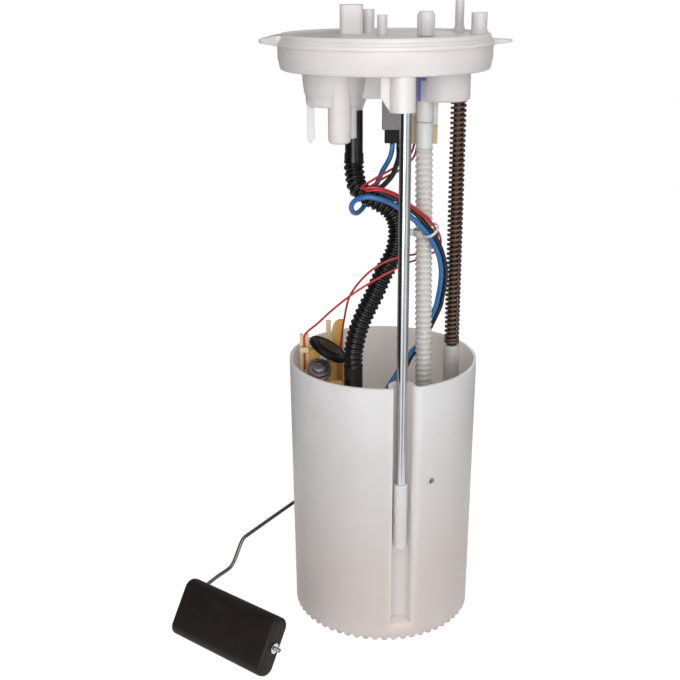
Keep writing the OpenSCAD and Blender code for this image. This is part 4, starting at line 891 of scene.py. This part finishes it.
class PUMP_OT_stage(bpy.types.Operator):
    """The camera at the photograph's view, the floor, the plain sky, four soft lamps and the cards"""
    bl_idname = "pump.stage"
    bl_label = "Stage"

    def execute(self, context):
        scene = context.scene
        stage = scene.pump_stage
        scene.view_settings.view_transform = "Standard"
        eye = bpy.data.cameras.new("photo_camera")
        eye.lens, eye.clip_start = CAMERA_LENS, 0.01
        camera = bpy.data.objects.new("photo_camera", eye)
        scene.collection.objects.link(camera)
        camera.matrix_world = (Matrix.Translation(CAMERA_PLACE)
                               @ Matrix.Rotation(radians(90 - CAMERA_PITCH), 4, "X")
                               @ Matrix.Rotation(radians(CAMERA_ROLL), 4, "Z"))
        scene.camera = camera
        for name, place, size in LAMPS:
            soft_light(name + "_lamp", place, size, getattr(stage, name + "_power"))
        self.make_sky(scene, stage.sky)
        self.make_floor()
        for name, first, last, grey in CARDS:
            card(name, first, last, grey)
        return {"FINISHED"}

    def make_sky(self, scene, strength):
        """Even light from all round, seen as plain white."""
        world = bpy.data.worlds.new("plain_sky")
        world.use_nodes = True
        tree = world.node_tree
        light = tree.nodes["Background"]
        light.inputs["Color"].default_value = WHITE
        light.inputs["Strength"].default_value = strength
        white = add_node(tree, "ShaderNodeBackground", {"Strength": 1.0, "Color": WHITE})
        mix = add_node(tree, "ShaderNodeMixShader", {
            0: seen_rays(tree), 1: light.outputs[0], 2: white.outputs[0]})
        tree.links.new(mix.outputs[0], tree.nodes["World Output"].inputs["Surface"])
        scene.world = world

    def make_floor(self):
        """A wide pale floor that shows white and keeps a faint shadow of the module."""
        material = bpy.data.materials.new("pale_floor")
        material.use_nodes = True
        tree = material.node_tree
        shader = tree.nodes["Principled BSDF"]
        shader.inputs["Base Color"].default_value = FLOOR_GREY
        shader.inputs["Roughness"].default_value = 0.6
        white = add_node(tree, "ShaderNodeEmission", {"Strength": FLOOR_WHITE, "Color": WHITE})
        shown = add_node(tree, "ShaderNodeMath", {0: seen_rays(tree), 1: FLOOR_SHARE},
                         operation="MULTIPLY")
        mix = add_node(tree, "ShaderNodeMixShader", {
            0: shown.outputs[0], 1: shader.outputs[0], 2: white.outputs[0]})
        tree.links.new(mix.outputs[0], tree.nodes["Material Output"].inputs["Surface"])
        turn, reach = np.meshgrid(np.linspace(0, 2 * np.pi, 97), (0.0, FLOOR_RADIUS), indexing="ij")
        points = np.stack((reach * np.cos(turn), reach * np.sin(turn), np.zeros_like(turn)), axis=-1)
        stage_mesh("floor", points[:, ::-1], material)


class PUMP_PT_panel(bpy.types.Panel):
    """Lists the steps that dress the module"""
    bl_label = "Pump module"
    bl_idname = "PUMP_PT_panel"
    bl_space_type = "VIEW_3D"
    bl_region_type = "UI"
    bl_category = "Pump module"

    def draw(self, context):
        for step in STEPS:
            self.layout.operator(step.bl_idname)
        for group in (getattr(context.scene, name) for name in GROUPS):
            box = self.layout.box()
            for name in group.__annotations__:
                box.prop(group, name)


STEPS = (PUMP_OT_stage, PUMP_OT_finishes, PUMP_OT_feed_hose, PUMP_OT_return_tube, PUMP_OT_rods,
         PUMP_OT_spring, PUMP_OT_wires, PUMP_OT_tie, PUMP_OT_arm, PUMP_OT_float)
GROUPS = {"pump_sizes": PumpSizes, "pump_finishes": PumpFinishes, "pump_stage": PumpStage}


def register():
    """Registers the settings, the steps and the panel."""
    for group in GROUPS.values():
        bpy.utils.register_class(group)
    for kind in (*STEPS, PUMP_PT_panel):
        bpy.utils.register_class(kind)
    for name, group in GROUPS.items():
        setattr(bpy.types.Scene, name, bpy.props.PointerProperty(type=group))


def unregister():
    """Takes back what register added."""
    for name in GROUPS:
        delattr(bpy.types.Scene, name)
    for kind in (PUMP_PT_panel, *reversed(STEPS), *GROUPS.values()):
        bpy.utils.unregister_class(kind)


def main():
    """Runs the steps."""
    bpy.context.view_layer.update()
    register()
    for step in STEPS:
        group, name = step.bl_idname.split(".")
        getattr(getattr(bpy.ops, group), name)()


if __name__ == "__main__":
    main()
